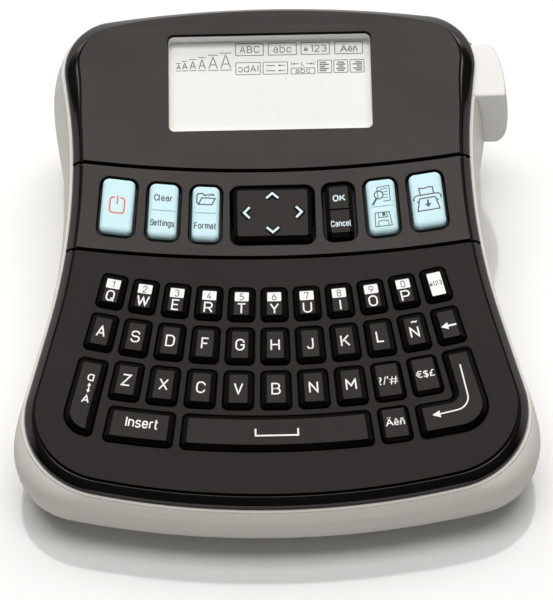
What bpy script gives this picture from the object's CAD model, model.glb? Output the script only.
# %% [markdown]
# # A handheld label maker
#
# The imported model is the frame: every case, key and door has its right size and
# place there. This lesson gives it its looks. It rebuilds the parts that show
# with finer curves, prints the legends on the keys, and paints every surface
# with a material that follows how the real one was made.

# %% Load the frame
import math

import bmesh
import bpy
from mathutils import Matrix, Vector
from mathutils.bvhtree import BVHTree


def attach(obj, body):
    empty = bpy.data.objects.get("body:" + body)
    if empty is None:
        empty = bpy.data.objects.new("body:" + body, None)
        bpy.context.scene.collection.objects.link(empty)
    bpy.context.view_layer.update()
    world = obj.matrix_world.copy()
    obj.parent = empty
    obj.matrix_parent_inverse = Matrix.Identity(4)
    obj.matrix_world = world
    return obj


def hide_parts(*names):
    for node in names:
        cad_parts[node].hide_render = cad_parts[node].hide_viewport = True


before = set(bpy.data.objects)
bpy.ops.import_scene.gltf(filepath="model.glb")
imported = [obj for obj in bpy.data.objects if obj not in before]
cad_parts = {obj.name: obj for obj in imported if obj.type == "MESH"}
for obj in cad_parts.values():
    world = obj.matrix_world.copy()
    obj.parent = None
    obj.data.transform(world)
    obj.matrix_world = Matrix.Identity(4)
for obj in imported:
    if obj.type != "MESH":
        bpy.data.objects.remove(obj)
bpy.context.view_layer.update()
MM = 0.001

# %% [markdown]
# ## The camera
#
# A long lens from in front, 50 degrees above the table, with a slight roll. A
# long lens keeps the two ends of the body at nearly the same scale.

# %% Camera
def look_from(target, distance, elevation, roll, aside):
    """Where a camera stands that looks at target (mm) from in front, raised and rolled."""
    e, r = math.radians(elevation), math.radians(roll)
    back = Vector((0, -math.cos(e), math.sin(e)))
    right = Vector((1, 0, 0))
    up = back.cross(right)
    side = right * math.cos(r) - up * math.sin(r)
    top = right * math.sin(r) + up * math.cos(r)
    eye = (Vector(target) + back * distance + side * aside) * MM
    turn = Matrix((side, top, back)).transposed().to_4x4()
    return Matrix.Translation(eye) @ turn


lens = bpy.data.cameras.new("camera")
lens.lens = 183.6
lens.sensor_width = 36
lens.clip_start = 0.05
camera = bpy.data.objects.new("camera", lens)
camera.matrix_world = look_from((0, -11.0, 27.2), 873, 50, 1.15, 0.63)
bpy.context.collection.objects.link(camera)
bpy.context.scene.camera = camera
bpy.context.scene.view_settings.view_transform = "Standard"
print("camera at", [round(v, 3) for v in camera.matrix_world.translation])

# %% [markdown]
# ## Nodes and colours
#
# A material is a small graph. One helper adds any node: its settings are
# attributes, and its inputs are values or the sockets of earlier nodes. Colours
# are written as they look on a screen, and turned to linear light in one place.

# %% Helpers for materials
def linear(hex_colour):
    """A screen colour such as #808080 as linear light."""
    parts = [int(hex_colour[i:i + 2], 16) / 255 for i in (1, 3, 5)]
    return tuple(c / 12.92 if c <= 0.04045 else ((c + 0.055) / 1.055) ** 2.4 for c in parts) + (1.0,)


def add(tree, kind, inputs=None, **settings):
    """Adds a node to any tree and fills or links its inputs."""
    node = tree.nodes.new(kind)
    for key, value in settings.items():
        setattr(node, key, value)
    for key, value in (inputs or {}).items():
        if isinstance(value, bpy.types.NodeSocket):
            tree.links.new(value, node.inputs[key])
        else:
            node.inputs[key].default_value = value
    return node


def new_material(name):
    material = bpy.data.materials.new(name)
    material.use_nodes = True
    tree = material.node_tree
    tree.nodes.clear()
    return material, tree


def finish_with(material, tree, surface):
    add(tree, "ShaderNodeOutputMaterial", {"Surface": surface.outputs[0]})
    return material


print("a mid grey in linear light:", round(linear("#808080")[0], 3))

# %% [markdown]
# ## Moulded black plastic
#
# The covers are ABS, moulded against a spark-eroded steel tool, so their flat
# parts carry a fine grain that spreads light into a soft grey sheen. Their rolled
# border was moulded against polished steel, so it mirrors the room in crisp lines,
# and the flanks of the keys are satin, so they stay deep black. A bump map of fine
# noise would do for the grain alone. Two noises are used here, one for the bumps
# and one for how the gloss varies, because real gloss is never quite even.

# %% Moulded plastics
# plastics have a refractive index near 1.53; the sheen of the grain is a little warm
PLASTIC_IOR, WARM_SHEEN = 1.53, (1.0, 0.92, 0.9, 1.0)
# the gloss changes over patches about 20 mm wide, by this much either way
PATCH_MM, GLOSS_CHANGE = 1000 / 45, 0.03


def grained_plastic(name, colour, roughness, grain_mm, depth, specular=0.5):
    """A plastic whose grain is grain_mm wide and depth mm deep, between two colours."""
    material, tree = new_material(name)
    where = add(tree, "ShaderNodeTexCoord").outputs["Object"]
    # real grain is about 0.1 mm wide; it is drawn coarser so that it still shows
    grain = add(tree, "ShaderNodeTexNoise", {"Vector": where, "Scale": 1 / (grain_mm * MM),
                                             "Detail": 2.0, "Roughness": 0.6})
    patches = add(tree, "ShaderNodeTexNoise", {"Vector": where, "Scale": 1 / (PATCH_MM * MM),
                                               "Detail": 3.0})
    gloss = add(tree, "ShaderNodeMapRange", {0: patches.outputs["Fac"], 1: 0.3, 2: 0.7,
                                             3: roughness - GLOSS_CHANGE, 4: roughness + GLOSS_CHANGE})
    tint = add(tree, "ShaderNodeMix", {0: grain.outputs["Fac"],
                                       6: linear(colour[0]), 7: linear(colour[1])},
               data_type="RGBA")
    bump = add(tree, "ShaderNodeBump", {"Height": grain.outputs["Fac"], "Strength": 0.6,
                                        "Distance": depth * MM})
    surface = add(tree, "ShaderNodeBsdfPrincipled",
                  {"Base Color": tint.outputs[2], "Roughness": gloss.outputs[0],
                   "IOR": PLASTIC_IOR, "Specular IOR Level": specular, "Specular Tint": WARM_SHEEN,
                   "Normal": bump.outputs["Normal"]})
    return finish_with(material, tree, surface)


# %% The plastics of the covers, keys and doors
# display cover and function strip: spark-eroded grain, a soft grey sheen
black_grain = grained_plastic("ABS_spark_grained_black", ("#0e0c0b", "#1b1816"), 0.44, 0.42, 0.03, 0.28)
# keyboard panel: the same grain with less sheen, so the keys stand out
matt_grain = grained_plastic("ABS_matt_grained_black", ("#0c0a09", "#171412"), 0.42, 0.42, 0.03, 0.13)
# rolled border of the covers: polished, with crisp highlights along the roll
black_gloss = grained_plastic("ABS_polished_black", ("#060606", "#080808"), 0.17, 1.5, 0.001, 0.45)
# flanks of the keys and walls of their holes: satin, black from every side
black_flank = grained_plastic("ABS_satin_black", ("#040404", "#060606"), 0.34, 1.5, 0.001, 0.045)
# frame of the display: pale and smooth, it passes light down to the panel
frame_white = grained_plastic("ABS_moulded_pale_grey", ("#f4f4f1", "#fafaf8"), 0.45, 0.8, 0.01)
# inside of the case, where no lacquer reaches: the plain grey of the plastic
bare_grey = grained_plastic("ABS_moulded_bare_grey", ("#777572", "#83817d"), 0.5, 0.7, 0.02)
# faces of the keys: a finer grain, polished a little by fingers
key_grain = grained_plastic("ABS_key_face_black", ("#110e0d", "#1d1a18"), 0.42, 0.38, 0.03, 0.16)
# doors underneath: a coarse grain that hides scratches
door_grain = grained_plastic("ABS_coarse_grained_black", ("#161514", "#242220"), 0.55, 0.5, 0.05)
print("plastics:", black_grain.name, black_gloss.name, key_grain.name)


# %% [markdown]
# ## Silver paint
#
# The lower case is sprayed with a silver lacquer: aluminium flakes in a clear
# binder. From a distance it looks like a soft grey metal, brighter where it faces
# a light. A fully metallic surface would mirror the room too sharply, so only a
# small metallic share is mixed into a pale grey.

# %% Silver paint
def silver_paint(name, dark, light, roughness, metallic):
    """Flakes between two greys, each tilted a little by a very shallow bump."""
    material, tree = new_material(name)
    where = add(tree, "ShaderNodeTexCoord").outputs["Object"]
    # real flakes are about 0.1 mm wide; these are drawn at 0.3 mm so that they still show
    flakes = add(tree, "ShaderNodeTexNoise", {"Vector": where, "Scale": 1 / (0.3 * MM),
                                              "Detail": 1.0})
    tint = add(tree, "ShaderNodeMix", {0: flakes.outputs["Fac"], 6: linear(dark), 7: linear(light)},
               data_type="RGBA")
    bump = add(tree, "ShaderNodeBump", {"Height": flakes.outputs["Fac"], "Strength": 0.3,
                                        "Distance": 0.01 * MM})
    surface = add(tree, "ShaderNodeBsdfPrincipled",
                  {"Base Color": tint.outputs[2], "Metallic": metallic, "Roughness": roughness,
                   "Normal": bump.outputs["Normal"]})
    return finish_with(material, tree, surface)


# lower case: warm silver, a broad soft highlight along the belly
case_silver = silver_paint("lacquer_silver_flake", "#c4c1bb", "#dbd8d3", 0.5, 0.15)
# cutter button: the same lacquer with more white, so it reads as a part to press
button_silver = silver_paint("lacquer_pearl_white", "#dbdad7", "#e8e7e4", 0.5, 0.12)
print("lacquers:", case_silver.name, button_silver.name)

# %% [markdown]
# ## The other finishes
#
# Each starts from what the real thing is: pale blue polished ABS for the function
# keys, screen-printed ink for the legends, a reflective liquid-crystal panel,
# moulded rubber, solder mask, pressed steel. The plastics, inks and rubbers differ
# only in colour, grain and gloss, so they share one function. The metals get
# another, with the fine lines that drawing and rolling leave.

# %% Keys, inks and display
# function keys: polished and slightly milky, with a soft glint on each pillow
blue_plastic = grained_plastic("ABS_polished_pale_blue", ("#c5e9f2", "#cff0f7"), 0.32, 0.8, 0.004, 0.38)
# screen-printed legends: flat, opaque films without a glint
ink_white = grained_plastic("ink_white", ("#f2f1ee", "#fafaf8"), 0.5, 0.2, 0.002)
ink_grey = grained_plastic("ink_dark_grey", ("#384246", "#424c50"), 0.5, 0.2, 0.002)
ink_black = grained_plastic("ink_matt_black", ("#040404", "#060606"), 0.7, 0.2, 0.002, 0.05)
ink_red = grained_plastic("ink_orange_red", ("#dd5a3e", "#e46a4c"), 0.5, 0.2, 0.002)
ink_pale = grained_plastic("ink_pale_blue", ("#cfe6ec", "#d8edf2"), 0.5, 0.2, 0.002)
# liquid crystal: grey where a segment is on, else the matt white of the reflector behind it
lcd_ink = grained_plastic("liquid_crystal_segment", ("#5d5d58", "#66665f"), 0.35, 0.2, 0.001)
lcd_panel = grained_plastic("liquid_crystal_panel_clear", ("#d9dcd9", "#dfe2df"), 0.16, 2.0, 0.001)
print("inks:", ink_white.name, ink_grey.name, ink_pale.name, lcd_ink.name)


# %% Inner parts
def metal(name, dark, light, roughness):
    """A metal whose gloss changes in fine lines, as rolling and grinding leave them."""
    material, tree = new_material(name)
    where = add(tree, "ShaderNodeTexCoord").outputs["Object"]
    # real lines are a few hundredths of a millimetre apart; these are about 0.2 mm, so that they show
    drawn = add(tree, "ShaderNodeMapping", {"Vector": where, "Scale": (60, 60, 1500)})
    lines = add(tree, "ShaderNodeTexNoise", {"Vector": drawn.outputs[0], "Scale": 3.0, "Detail": 3.0})
    tint = add(tree, "ShaderNodeMix", {0: lines.outputs["Fac"], 6: linear(dark), 7: linear(light)},
               data_type="RGBA")
    # the crests of the lines are worn smoother than the valleys between them
    rough = add(tree, "ShaderNodeMapRange", {0: lines.outputs["Fac"], 3: roughness - 0.06,
                                             4: roughness + 0.06})
    surface = add(tree, "ShaderNodeBsdfPrincipled", {"Base Color": tint.outputs[2],
                                                     "Metallic": 1.0, "Roughness": rough.outputs[0]})
    return finish_with(material, tree, surface)


# print head and blade: bright zinc plate with fine lines
steel = metal("steel_zinc_plated", "#9a9ca0", "#b4b6b8", 0.34)
# pivot under the cursor pad: black oxide, which hardly glints through the gap
dark_steel = metal("steel_black_oxide", "#101112", "#1b1c1e", 0.5)
# feet and platen: dull rubber that swallows light
rubber = grained_plastic("rubber_moulded_black", ("#101010", "#1b1b1b"), 0.75, 0.6, 0.04, 0.3)
# key mat: translucent grey silicone, nearly matt
silicone = grained_plastic("silicone_moulded_grey", ("#56575a", "#606164"), 0.6, 0.8, 0.01)
# circuit boards: green solder mask with a wet look
board = grained_plastic("solder_mask_green", ("#12421f", "#1a5a2a"), 0.35, 3.0, 0.01)
# label cassette: ivory plastic, as such cassettes have
ivory = grained_plastic("ABS_moulded_ivory", ("#d9d5c8", "#e4e0d4"), 0.45, 0.6, 0.01)
# cells: printed steel jackets in a dull gold
cell_jacket = grained_plastic("printed_steel_jacket", ("#8b7a3e", "#a08c4a"), 0.32, 2.5, 0.002)

# %% Materials on the inner parts
for node, material in {
    "circuit_board": board, "key_mat": silicone, "nav_pivot": dark_steel,
    "cutter_blade": steel, "cassette_door": door_grain, "battery_cover": door_grain,
    "label_cassette": ivory, "batteries": cell_jacket, "print_head": steel,
    "platen_roller": rubber, "rubber_feet": rubber,
}.items():
    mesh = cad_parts[node].data
    mesh.materials.clear()
    mesh.materials.append(material)
print("materials:", len(bpy.data.materials))

# %% [markdown]
# ## The hollow arc and the two outlines
#
# The whole top follows one concave arc, and both the covers and the lower case
# follow a waisted outline of tangent arcs. A Bezier curve could draw the outline,
# but arcs have true radii that match the frame. So the same few sizes that shaped
# the frame are repeated here, and the arcs are cut into finer steps.

# %% The arc of the top
ARC_R, FRONT_SLOPE, FRONT_Y, FRONT_Z = 543, 5.06, -74.3, 20.25
ARC_Y = FRONT_Y - ARC_R * math.sin(math.radians(FRONT_SLOPE))
ARC_Z = FRONT_Z + ARC_R * math.cos(math.radians(FRONT_SLOPE))


def top_z(y):
    return ARC_Z - math.sqrt(ARC_R * ARC_R - (y - ARC_Y) ** 2)


def slope(y):
    return math.asin((y - ARC_Y) / ARC_R)


def on_top(x, y, turn=0.0):
    """The place and tilt of the top surface at x, y."""
    return (Matrix.Translation((x, y, top_z(y))) @ Matrix.Rotation(slope(y), 4, "X")
            @ Matrix.Rotation(turn, 4, "Z"))


# %% Outlines of tangent arcs
FINE = 5
BORDER_W, BORDER_DROP, COVER_T = 3.2, 3.2, 1.8
CASE_WALL, FLOOR_T, FOOT_H, REAR_CURL_CUT = 2.0, 2.6, 1.0, 0.7
# half width, half width and place of the waist, its radius, front end, its radius and
# corner radius, half width at the rear, rear end, its radius and corner radius
CASE_PLAN = (74, 61.5, 26, 210, -81, 229.9, 21, 65.6, 81, 380, 12.6)
COVER_PLAN = (67.3, 54.8, 33, 210, FRONT_Y, 209, 22.6, 57.4, 76.5, 380, 11.5)


def arc(centre, r, a0, a1, n, first=0):
    """Points on an arc with the angle of its normal; first leaves out the shared end."""
    n *= FINE
    out = []
    for i in range(first, n + 1):
        a = a0 + (a1 - a0) * i / n
        out.append((centre[0] + r * math.cos(a), centre[1] + r * math.sin(a), a))
    return out


def flank_angle(corner, r, waist, wr, side):
    """The angle of the straight line that touches a corner arc and the waist arc."""
    d = (waist[0] - corner[0], waist[1] - corner[1])
    return math.atan2(d[1], d[0]) + side * math.acos(min(1, (r + wr) / math.hypot(*d)))


def flank(p, q, a, n):
    n *= FINE
    return [(p[0] + (q[0] - p[0]) * i / n, p[1] + (q[1] - p[1]) * i / n, a) for i in range(1, n)]


def along(c, r, a):
    return c[0] + r * math.cos(a), c[1] + r * math.sin(a)


def waist_limit(w, y, corner, r):
    """The largest waist radius that still leaves room for the corner."""
    a, b = w - corner[0], y - corner[1]
    return 1000 if r <= a else 0.9 * (a * a + b * b - r * r) / (2 * (r - a))


def outline(plan):
    """The closed outline as (x, y, angle of its outward normal)."""
    w, waist, waist_y, wr, front, fr, cr, rw, rear, rr, rcr = plan
    fc, rc = (0, front + fr), (0, rear - rr)
    c1 = (w - cr, fc[1] - math.sqrt((fr - cr) ** 2 - (w - cr) ** 2))
    c2 = (rw - rcr, rc[1] + math.sqrt((rr - rcr) ** 2 - (rw - rcr) ** 2))
    r1 = min(wr, waist_limit(waist, waist_y, c1, cr))
    r2 = min(wr, waist_limit(waist, waist_y, c2, rcr))
    w1, w2 = (waist + r1, waist_y), (waist + r2, waist_y)
    front_a = math.atan2(c1[1] - fc[1], c1[0])
    a1, a2 = flank_angle(c1, cr, w1, r1, -1), flank_angle(c2, rcr, w2, r2, 1)
    rear_a = math.atan2(c2[1] - rc[1], c2[0])
    half = (arc(fc, fr, -math.pi / 2, front_a, 8) + arc(c1, cr, front_a, 0, 7, 1)
            + arc(c1, cr, 0, a1, 2, 1) + flank(along(c1, cr, a1), along(w1, -r1, a1), a1, 4)
            + arc(w1, -r1, a1, 0, 5) + arc(w2, -r2, 0, a2, 5, 1)
            + flank(along(w2, -r2, a2), along(c2, rcr, a2), a2, 3)
            + arc(c2, rcr, a2, 0, 1) + arc(c2, rcr, 0, rear_a, 7, 1)
            + arc(rc, rr, rear_a, math.pi / 2, 7, 1))
    return half + [(-x, y, math.pi - a) for x, y, a in half[-2:0:-1]]


cover_ring, case_ring = outline(COVER_PLAN), outline(CASE_PLAN)
assert len(cover_ring) == len(case_ring)
print("outline points:", len(cover_ring), "widest:", round(max(p[0] for p in case_ring), 2))


# %% Rings at a depth or a height
def cover_level(out, depth):
    """The cover outline moved outwards, depth under the arc of the top."""
    return [(x + out * math.cos(a), y + out * math.sin(a), top_z(y) - depth / math.cos(slope(y)))
            for x, y, a in cover_ring]


def case_level(inset, z, curl=0.0):
    """The case outline at height z; it curls less at the rear, to leave room for the bay."""
    ring = []
    for x, y, a in case_ring:
        d = inset + curl * (1 - REAR_CURL_CUT * max(0, math.sin(a)) ** 2 if y > 0 else 1)
        ring.append((x - d * math.cos(a), y - d * math.sin(a), FOOT_H + z))
    return ring


LIP_OUT, LIP_DROP = BORDER_W + 1.0, BORDER_DROP + 0.1
BELLY, BELLY_CURL, WALL_LEAN, WALL_CURVE = 9.2, 10.5, 0.75, 3.7


def wall_level(t, inset):
    """From the lip under the covers at t = 0 down to the belly at t = 1."""
    e, ring = 1 - (1 - t) ** WALL_CURVE, []
    inset += WALL_LEAN * t * t
    for (cx, cy, ca), (bx, by, ba) in zip(cover_ring, case_ring):
        lip_z = top_z(cy) - (LIP_DROP + 0.32) / math.cos(slope(cy))
        x = (cx + LIP_OUT * math.cos(ca)) * (1 - e) + bx * e - inset * math.cos(ba)
        y = (cy + LIP_OUT * math.sin(ca)) * (1 - e) + by * e - inset * math.sin(ba)
        ring.append((x, y, lip_z * (1 - t) + (FOOT_H + BELLY) * t))
    return ring


print("lip at", round(LIP_OUT, 2), "mm outside the covers, belly", BELLY, "mm high")

# %% [markdown]
# ## Building meshes
#
# Nearly every shape here is a loft: a stack of rings with the same number of
# points, joined by quads. Subdivision would round such a cage for us, but a loft
# puts each edge exactly where it belongs. A cap closes each end. Faces on chosen
# bands can get their own material.

# %% A mesh from points and faces
def mesh_from(name, points, faces, slots=None, materials=(), place=None):
    mesh = bpy.data.meshes.new(name)
    place = place or Matrix()
    mesh.from_pydata([(place @ Vector(p)) * MM for p in points], [], faces)
    for material in materials:
        mesh.materials.append(material)
    if slots:
        mesh.polygons.foreach_set("material_index", slots)
    mesh.validate()
    mesh.update()
    piece = bpy.data.objects.new(name, mesh)
    bpy.context.collection.objects.link(piece)
    return piece


def in_slot(piece, slot):
    """Gives every face of a piece the same material."""
    piece.data.polygons.foreach_set("material_index", [slot] * len(piece.data.polygons))
    return piece


def smooth(piece, angle=35):
    """Shades smoothly, except where two faces meet at a sharp angle."""
    piece.data.polygons.foreach_set("use_smooth", [True] * len(piece.data.polygons))
    piece.data.set_sharp_from_angle(angle=math.radians(angle))
    return piece


# %% Calm shading on large faces
def settle_normals(piece, normal_at=None, least=6.0):
    """Large faces keep their own normals, so that the small round edges don't tilt them."""
    mesh = piece.data
    normals = [Vector(n.vector) for n in mesh.corner_normals]
    for face in mesh.polygons:
        own = normal_at(face.center / MM) if normal_at else face.normal
        if face.area > least * MM * MM and face.normal.dot(own) > 0.9995 or (
                normal_at and face.normal.dot(own) > 0.99995):
            for i in face.loop_indices:
                point = mesh.vertices[mesh.loops[i].vertex_index].co / MM
                normals[i] = normal_at(point) if normal_at else own
    mesh.normals_split_custom_set(normals)
    return piece


# %% Loft
def loft(name, rings, materials, slot_of_band=None, cap_slots=(0, 0), strips=False, place=None):
    """Rings from the bottom up, each running anticlockwise seen from above.

    With strips, the caps are rows of quads from side to side, which follow the arc.
    """
    n, points, faces, slots = len(rings[0]), [p for ring in rings for p in ring], [], []
    for k in range(len(rings) - 1):
        for i in range(n):
            j = (i + 1) % n
            faces.append((k * n + i, k * n + j, (k + 1) * n + j, (k + 1) * n + i))
            slots.append(slot_of_band[k] if slot_of_band else 0)
    top = (len(rings) - 1) * n
    if strips:
        h = n // 2
        for base, up, slot in ((0, False, cap_slots[0]), (top, True, cap_slots[1])):
            for i in range(h):
                q = [0, 1, n - 1] if i == 0 else [h - 1, h, h + 1] if i == h - 1 else [
                    i, i + 1, n - i - 1, n - i]
                faces.append([base + j for j in (q if up else q[::-1])])
                slots.append(slot)
    else:
        faces += [list(range(n))[::-1], [top + i for i in range(n)]]
        slots += list(cap_slots)
    return mesh_from(name, points, faces, slots, materials, place)


# %% Cutting and joining
def combine(target, tool, how):
    """One exact boolean, applied at once."""
    modifier = target.modifiers.new("shape", "BOOLEAN")
    modifier.operation, modifier.object, modifier.solver = how, tool, "EXACT"
    modifier.material_mode = "INDEX"
    graph = bpy.context.evaluated_depsgraph_get()
    result = bpy.data.meshes.new_from_object(target.evaluated_get(graph), depsgraph=graph)
    target.modifiers.clear()
    old, target.data = target.data, result
    result.name = target.name
    bpy.data.meshes.remove(old)
    bpy.data.objects.remove(tool)
    return target


def join(name, pieces):
    """Copies several meshes into one piece; every one keeps its own materials."""
    out, mesh, materials = bmesh.new(), bpy.data.meshes.new(name), []
    for piece in pieces:
        start = len(out.faces)
        out.from_mesh(piece.data)
        out.faces.ensure_lookup_table()
        for material in piece.data.materials:
            if material not in materials:
                materials.append(material)
        for face in out.faces[start:]:
            if piece.data.materials:
                face.material_index = materials.index(piece.data.materials[face.material_index])
        bpy.data.objects.remove(piece)
    out.to_mesh(mesh)
    out.free()
    for material in materials:
        mesh.materials.append(material)
    whole = bpy.data.objects.new(name, mesh)
    bpy.context.collection.objects.link(whole)
    return whole


# %% Prisms, boxes and cylinders
def prism(name, ring, levels, materials=(), place=None, slot_of_band=None):
    """A solid of one 2-D outline; levels are (outline, height) pairs from the bottom up."""
    rings = [[(x, y, z) for x, y in (ring(d) if callable(ring) else ring)] for d, z in levels]
    return loft(name, rings, materials, slot_of_band, place=place)


def box_piece(name, low, high, materials=()):
    ring = [(low[0], low[1]), (high[0], low[1]), (high[0], high[1]), (low[0], high[1])]
    return prism(name, ring, [(0, low[2]), (0, high[2])], materials)


def cylinder(name, r, z0, z1, place=None, materials=(), n=64):
    ring = [(r * math.cos(2 * math.pi * i / n), r * math.sin(2 * math.pi * i / n)) for i in range(n)]
    return prism(name, ring, [(0, z0), (0, z1)], materials, place)


# %% [markdown]
# ## Outlines with round corners
#
# Keys and windows are polygons whose corners are rounded and whose sides can be
# moved inwards. Scaling an outline would thin its narrow end, so instead every side
# moves by the same distance, and the corners are rounded again at each height. That
# gives the sloped flank of a key.

# %% Rounded outlines
def inset(points, d):
    """The corners of a polygon after every side has moved inwards by d."""
    out, n = [], len(points)
    for i in range(n):
        p, q, r = Vector(points[i - 1]), Vector(points[i]), Vector(points[(i + 1) % n])
        a, b = (q - p).normalized(), (r - q).normalized()
        a, b = Vector((-a.y, a.x)), Vector((-b.y, b.x))
        out.append(q + (a + b) * d / (1 + a.dot(b)))
    return out


def rounded(points, radii, d=0.0, steps=8, least=0.3):
    """The inset polygon with an arc of its own radius in each corner."""
    moved, out, n = inset(points, d), [], len(points)
    for i in range(n):
        p, q, r = moved[i - 1], moved[i], moved[(i + 1) % n]
        a, b = (q - p).normalized(), (r - q).normalized()
        angle = math.atan2(a.x * b.y - a.y * b.x, a.dot(b))
        radius = 0 if radii[i] <= 0 else max(least, radii[i] - d) if angle > 0 else radii[i] + d
        if radius <= 0 or abs(angle) < 1e-3:
            out.append((q.x, q.y))
            continue
        s = 1 if angle > 0 else -1
        start = q - a * radius * math.tan(abs(angle) / 2)
        centre = start + Vector((-a.y, a.x)) * s * radius
        for k in range(steps + 1):
            t = angle * k / steps
            v = start - centre
            out.append((centre.x + v.x * math.cos(t) - v.y * math.sin(t),
                        centre.y + v.x * math.sin(t) + v.y * math.cos(t)))
    return out


def rectangle(w, l):
    return [(-w / 2, -l / 2), (w / 2, -l / 2), (w / 2, l / 2), (-w / 2, l / 2)]


print("a rounded square has", len(rounded(rectangle(4, 4), [1] * 4)), "points")

# %% [markdown]
# ## Where the keys are
#
# The rows of keys are arcs round one far centre behind the display, so the keys
# fan out. Placing 36 keys by hand would never come out even, so each key is worked
# out from its row and its column: its radius, its angle, its outline and the
# radii of its corners.

# %% Key layout
# centre of the fan, radius where the first row starts, bar between two rows
FAN_Y, FIRST_R, BAR = 195.6, 204.6, 2.1
# angles from key to key and across one key hole
PITCH, HOLE = math.radians(2.54), math.radians(2.04)
ROW_LEN = (10.6, 11.6, 12.2, 11.2)
# corner radius, gap to the hole, height above the panel and width of the sloping flank
KEY_R, KEY_GAP, KEY_TOP, FLANK = 1.5, 0.25, 1.05, 1.38
# angles across the three keys of the last row and across the foot of the corner key
SPACE, INSERT, ACCENTS, LEG = (math.radians(a) for a in (12.1, 4.35, 1.95, 4.7))
KEY_ROWS = (("q", "w", "e", "r", "t", "y", "u", "i", "o", "p", "num_lock"),
            ("a", "s", "d", "f", "g", "h", "j", "k", "l", "n_tilde", "backspace"),
            ("caps", "z", "x", "c", "v", "b", "n", "m", "symbols", "currency", "enter"),
            ("insert", "space", "accents"))


def row_start(k):
    return FIRST_R + sum(length + BAR for length in ROW_LEN[:k])


def key_y(r, a):
    return FAN_Y - r * math.cos(a)


def fan_bend(points, r):
    """Bends a flat outline round the centre of the fan."""
    return [((r - y) * math.sin(x / r), r - (r - y) * math.cos(x / r)) for x, y in points]


def plain_key(k, a, width_angle, count=1):
    r = row_start(k) + ROW_LEN[k] / 2
    w, l = width_angle * r, ROW_LEN[k] / math.cos(slope(key_y(r, a)))
    xs = [w * (i / count - 0.5) for i in range(count + 1)]
    radii = [KEY_R] + [0] * (count - 1) + [KEY_R]
    return r, a, [(x, -l / 2) for x in xs] + [(x, l / 2) for x in xs[::-1]], radii * 2


END_LEN = ROW_LEN[2] + BAR + ROW_LEN[3]
END_R = row_start(2) + END_LEN / 2


def caps_key():
    a = -5 * PITCH
    w, l = HOLE * END_R, (END_LEN - 1.6) / math.cos(slope(key_y(END_R, a)))
    return END_R, a, rectangle(w, l), [w - 1.4, KEY_R * 0.8, KEY_R, KEY_R]


def enter_key():
    a = 5 * PITCH
    w, leg = HOLE * END_R, LEG * END_R
    l, foot = END_LEN / math.cos(slope(key_y(END_R, a))), ROW_LEN[3] - 0.6
    outline = [(w / 2 - leg, -l / 2), (w / 2, -l / 2), (w / 2, l / 2), (-w / 2, l / 2),
               (-w / 2, -l / 2 + foot), (w / 2 - leg, -l / 2 + foot)]
    return END_R, a, outline, [KEY_R, w, KEY_R, KEY_R, 2, KEY_R]


def key_spec(k, i):
    """Radius, angle, outline and corner radii of key i in row k."""
    if k < 3:
        special = {(2, 0): caps_key, (2, 10): enter_key}.get((k, i))
        return special() if special else plain_key(k, (i - 5) * PITCH, HOLE)
    side = SPACE / 2 + PITCH - HOLE
    return (plain_key(3, -side - INSERT / 2, INSERT, 4), plain_key(3, 0, SPACE, 12),
            plain_key(3, side + ACCENTS / 2, ACCENTS))[i]


KEYS = {name: key_spec(k, i) for k, row in enumerate(KEY_ROWS) for i, name in enumerate(row)}


def key_place(spec):
    y = key_y(spec[0], spec[1])
    return on_top(spec[0] * math.sin(spec[1]), y, spec[1])


def key_ring(spec, steps=8):
    return lambda d: fan_bend(rounded(spec[2], spec[3], d, steps), spec[0])


print("keys:", len(KEYS))

# %% Function key layout
STRIP_Y, STRIP_R, STRIP_LEN, STRIP_CORNER, STRIP_GAP, CROWN = 14.0, 291, 18.7, 2.6, 0.75, 1.5
# distance from the middle and width of the three keys on each side
SIDE_KEYS = ((19.3, 9.35), (31.6, 9.8), (44.8, 10.8))
PAD_W = 24.2
# place, width and the two angles by which a key leans to follow the bow of the strip
FUNCTION = {}
for i, name in enumerate(("power", "clear_settings", "open_format", "nav_pad",
                          "ok_cancel", "preview_save", "print")):
    if name == "nav_pad":
        FUNCTION[name] = (0, PAD_W, 0, 0)
    else:
        c, sign = (2 - i, -1) if i < 3 else (i - 4, 1)
        x = sign * SIDE_KEYS[c][0]
        a = math.asin(x / STRIP_R)
        FUNCTION[name] = (x, SIDE_KEYS[c][1], -a / 2, a)


def function_place(spec):
    return on_top(spec[0], STRIP_Y + STRIP_R - math.sqrt(STRIP_R ** 2 - spec[0] ** 2))


def function_ring(spec, steps=10):
    corners = [(x + y * math.tan(spec[2]), y + x * math.tan(spec[3]))
               for x, y in rectangle(spec[1], STRIP_LEN)]
    return lambda d: rounded(corners, [STRIP_CORNER] * 4, d, steps)


print("function keys:", len(FUNCTION))

# %% [markdown]
# ## The three covers
#
# The covers look like one smooth surface in three pieces. Three separate lofts
# would hardly line up along the seams. So one blank is lofted first, with its
# rolled border, then two bowed seams, the window and every key hole are cut from
# it, and it falls apart into three.

# %% The rolled border
COVER_MATERIALS, GRAINED, GLOSSY, SATIN = (black_grain, black_gloss, black_flank), 0, 1, 2
# (share of the way outwards, depth under the top) from the rim up to the flat face
BORDER_PROFILE = ((1, 2.75), (0.985, 2.5), (0.955, 2.28), (0.91, 2.08), (0.85, 1.89), (0.75, 1.66),
                  (0.6, 1.38), (0.45, 1.13), (0.3, 0.89), (0.15, 0.67), (0.05, 0.54), (0, 0.5))
# a dark groove parts the flat face from the roll, narrower at the rear
GROOVE_W, GROOVE_NARROWER, GROOVE_DEPTH = 0.75, 0.45, 0.85
# the flat face reaches out in the middle of the rear edge and draws back at the rear corners
FACE_OUT, FACE_OUT_X, FACE_BACK = 0.5, 36, 1.4
REAR_ROLL = 0.5


def ease(v):
    """Rises smoothly from 0 to 1."""
    v = min(1.0, max(0.0, v))
    return v * v * (3 - 2 * v)


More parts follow.
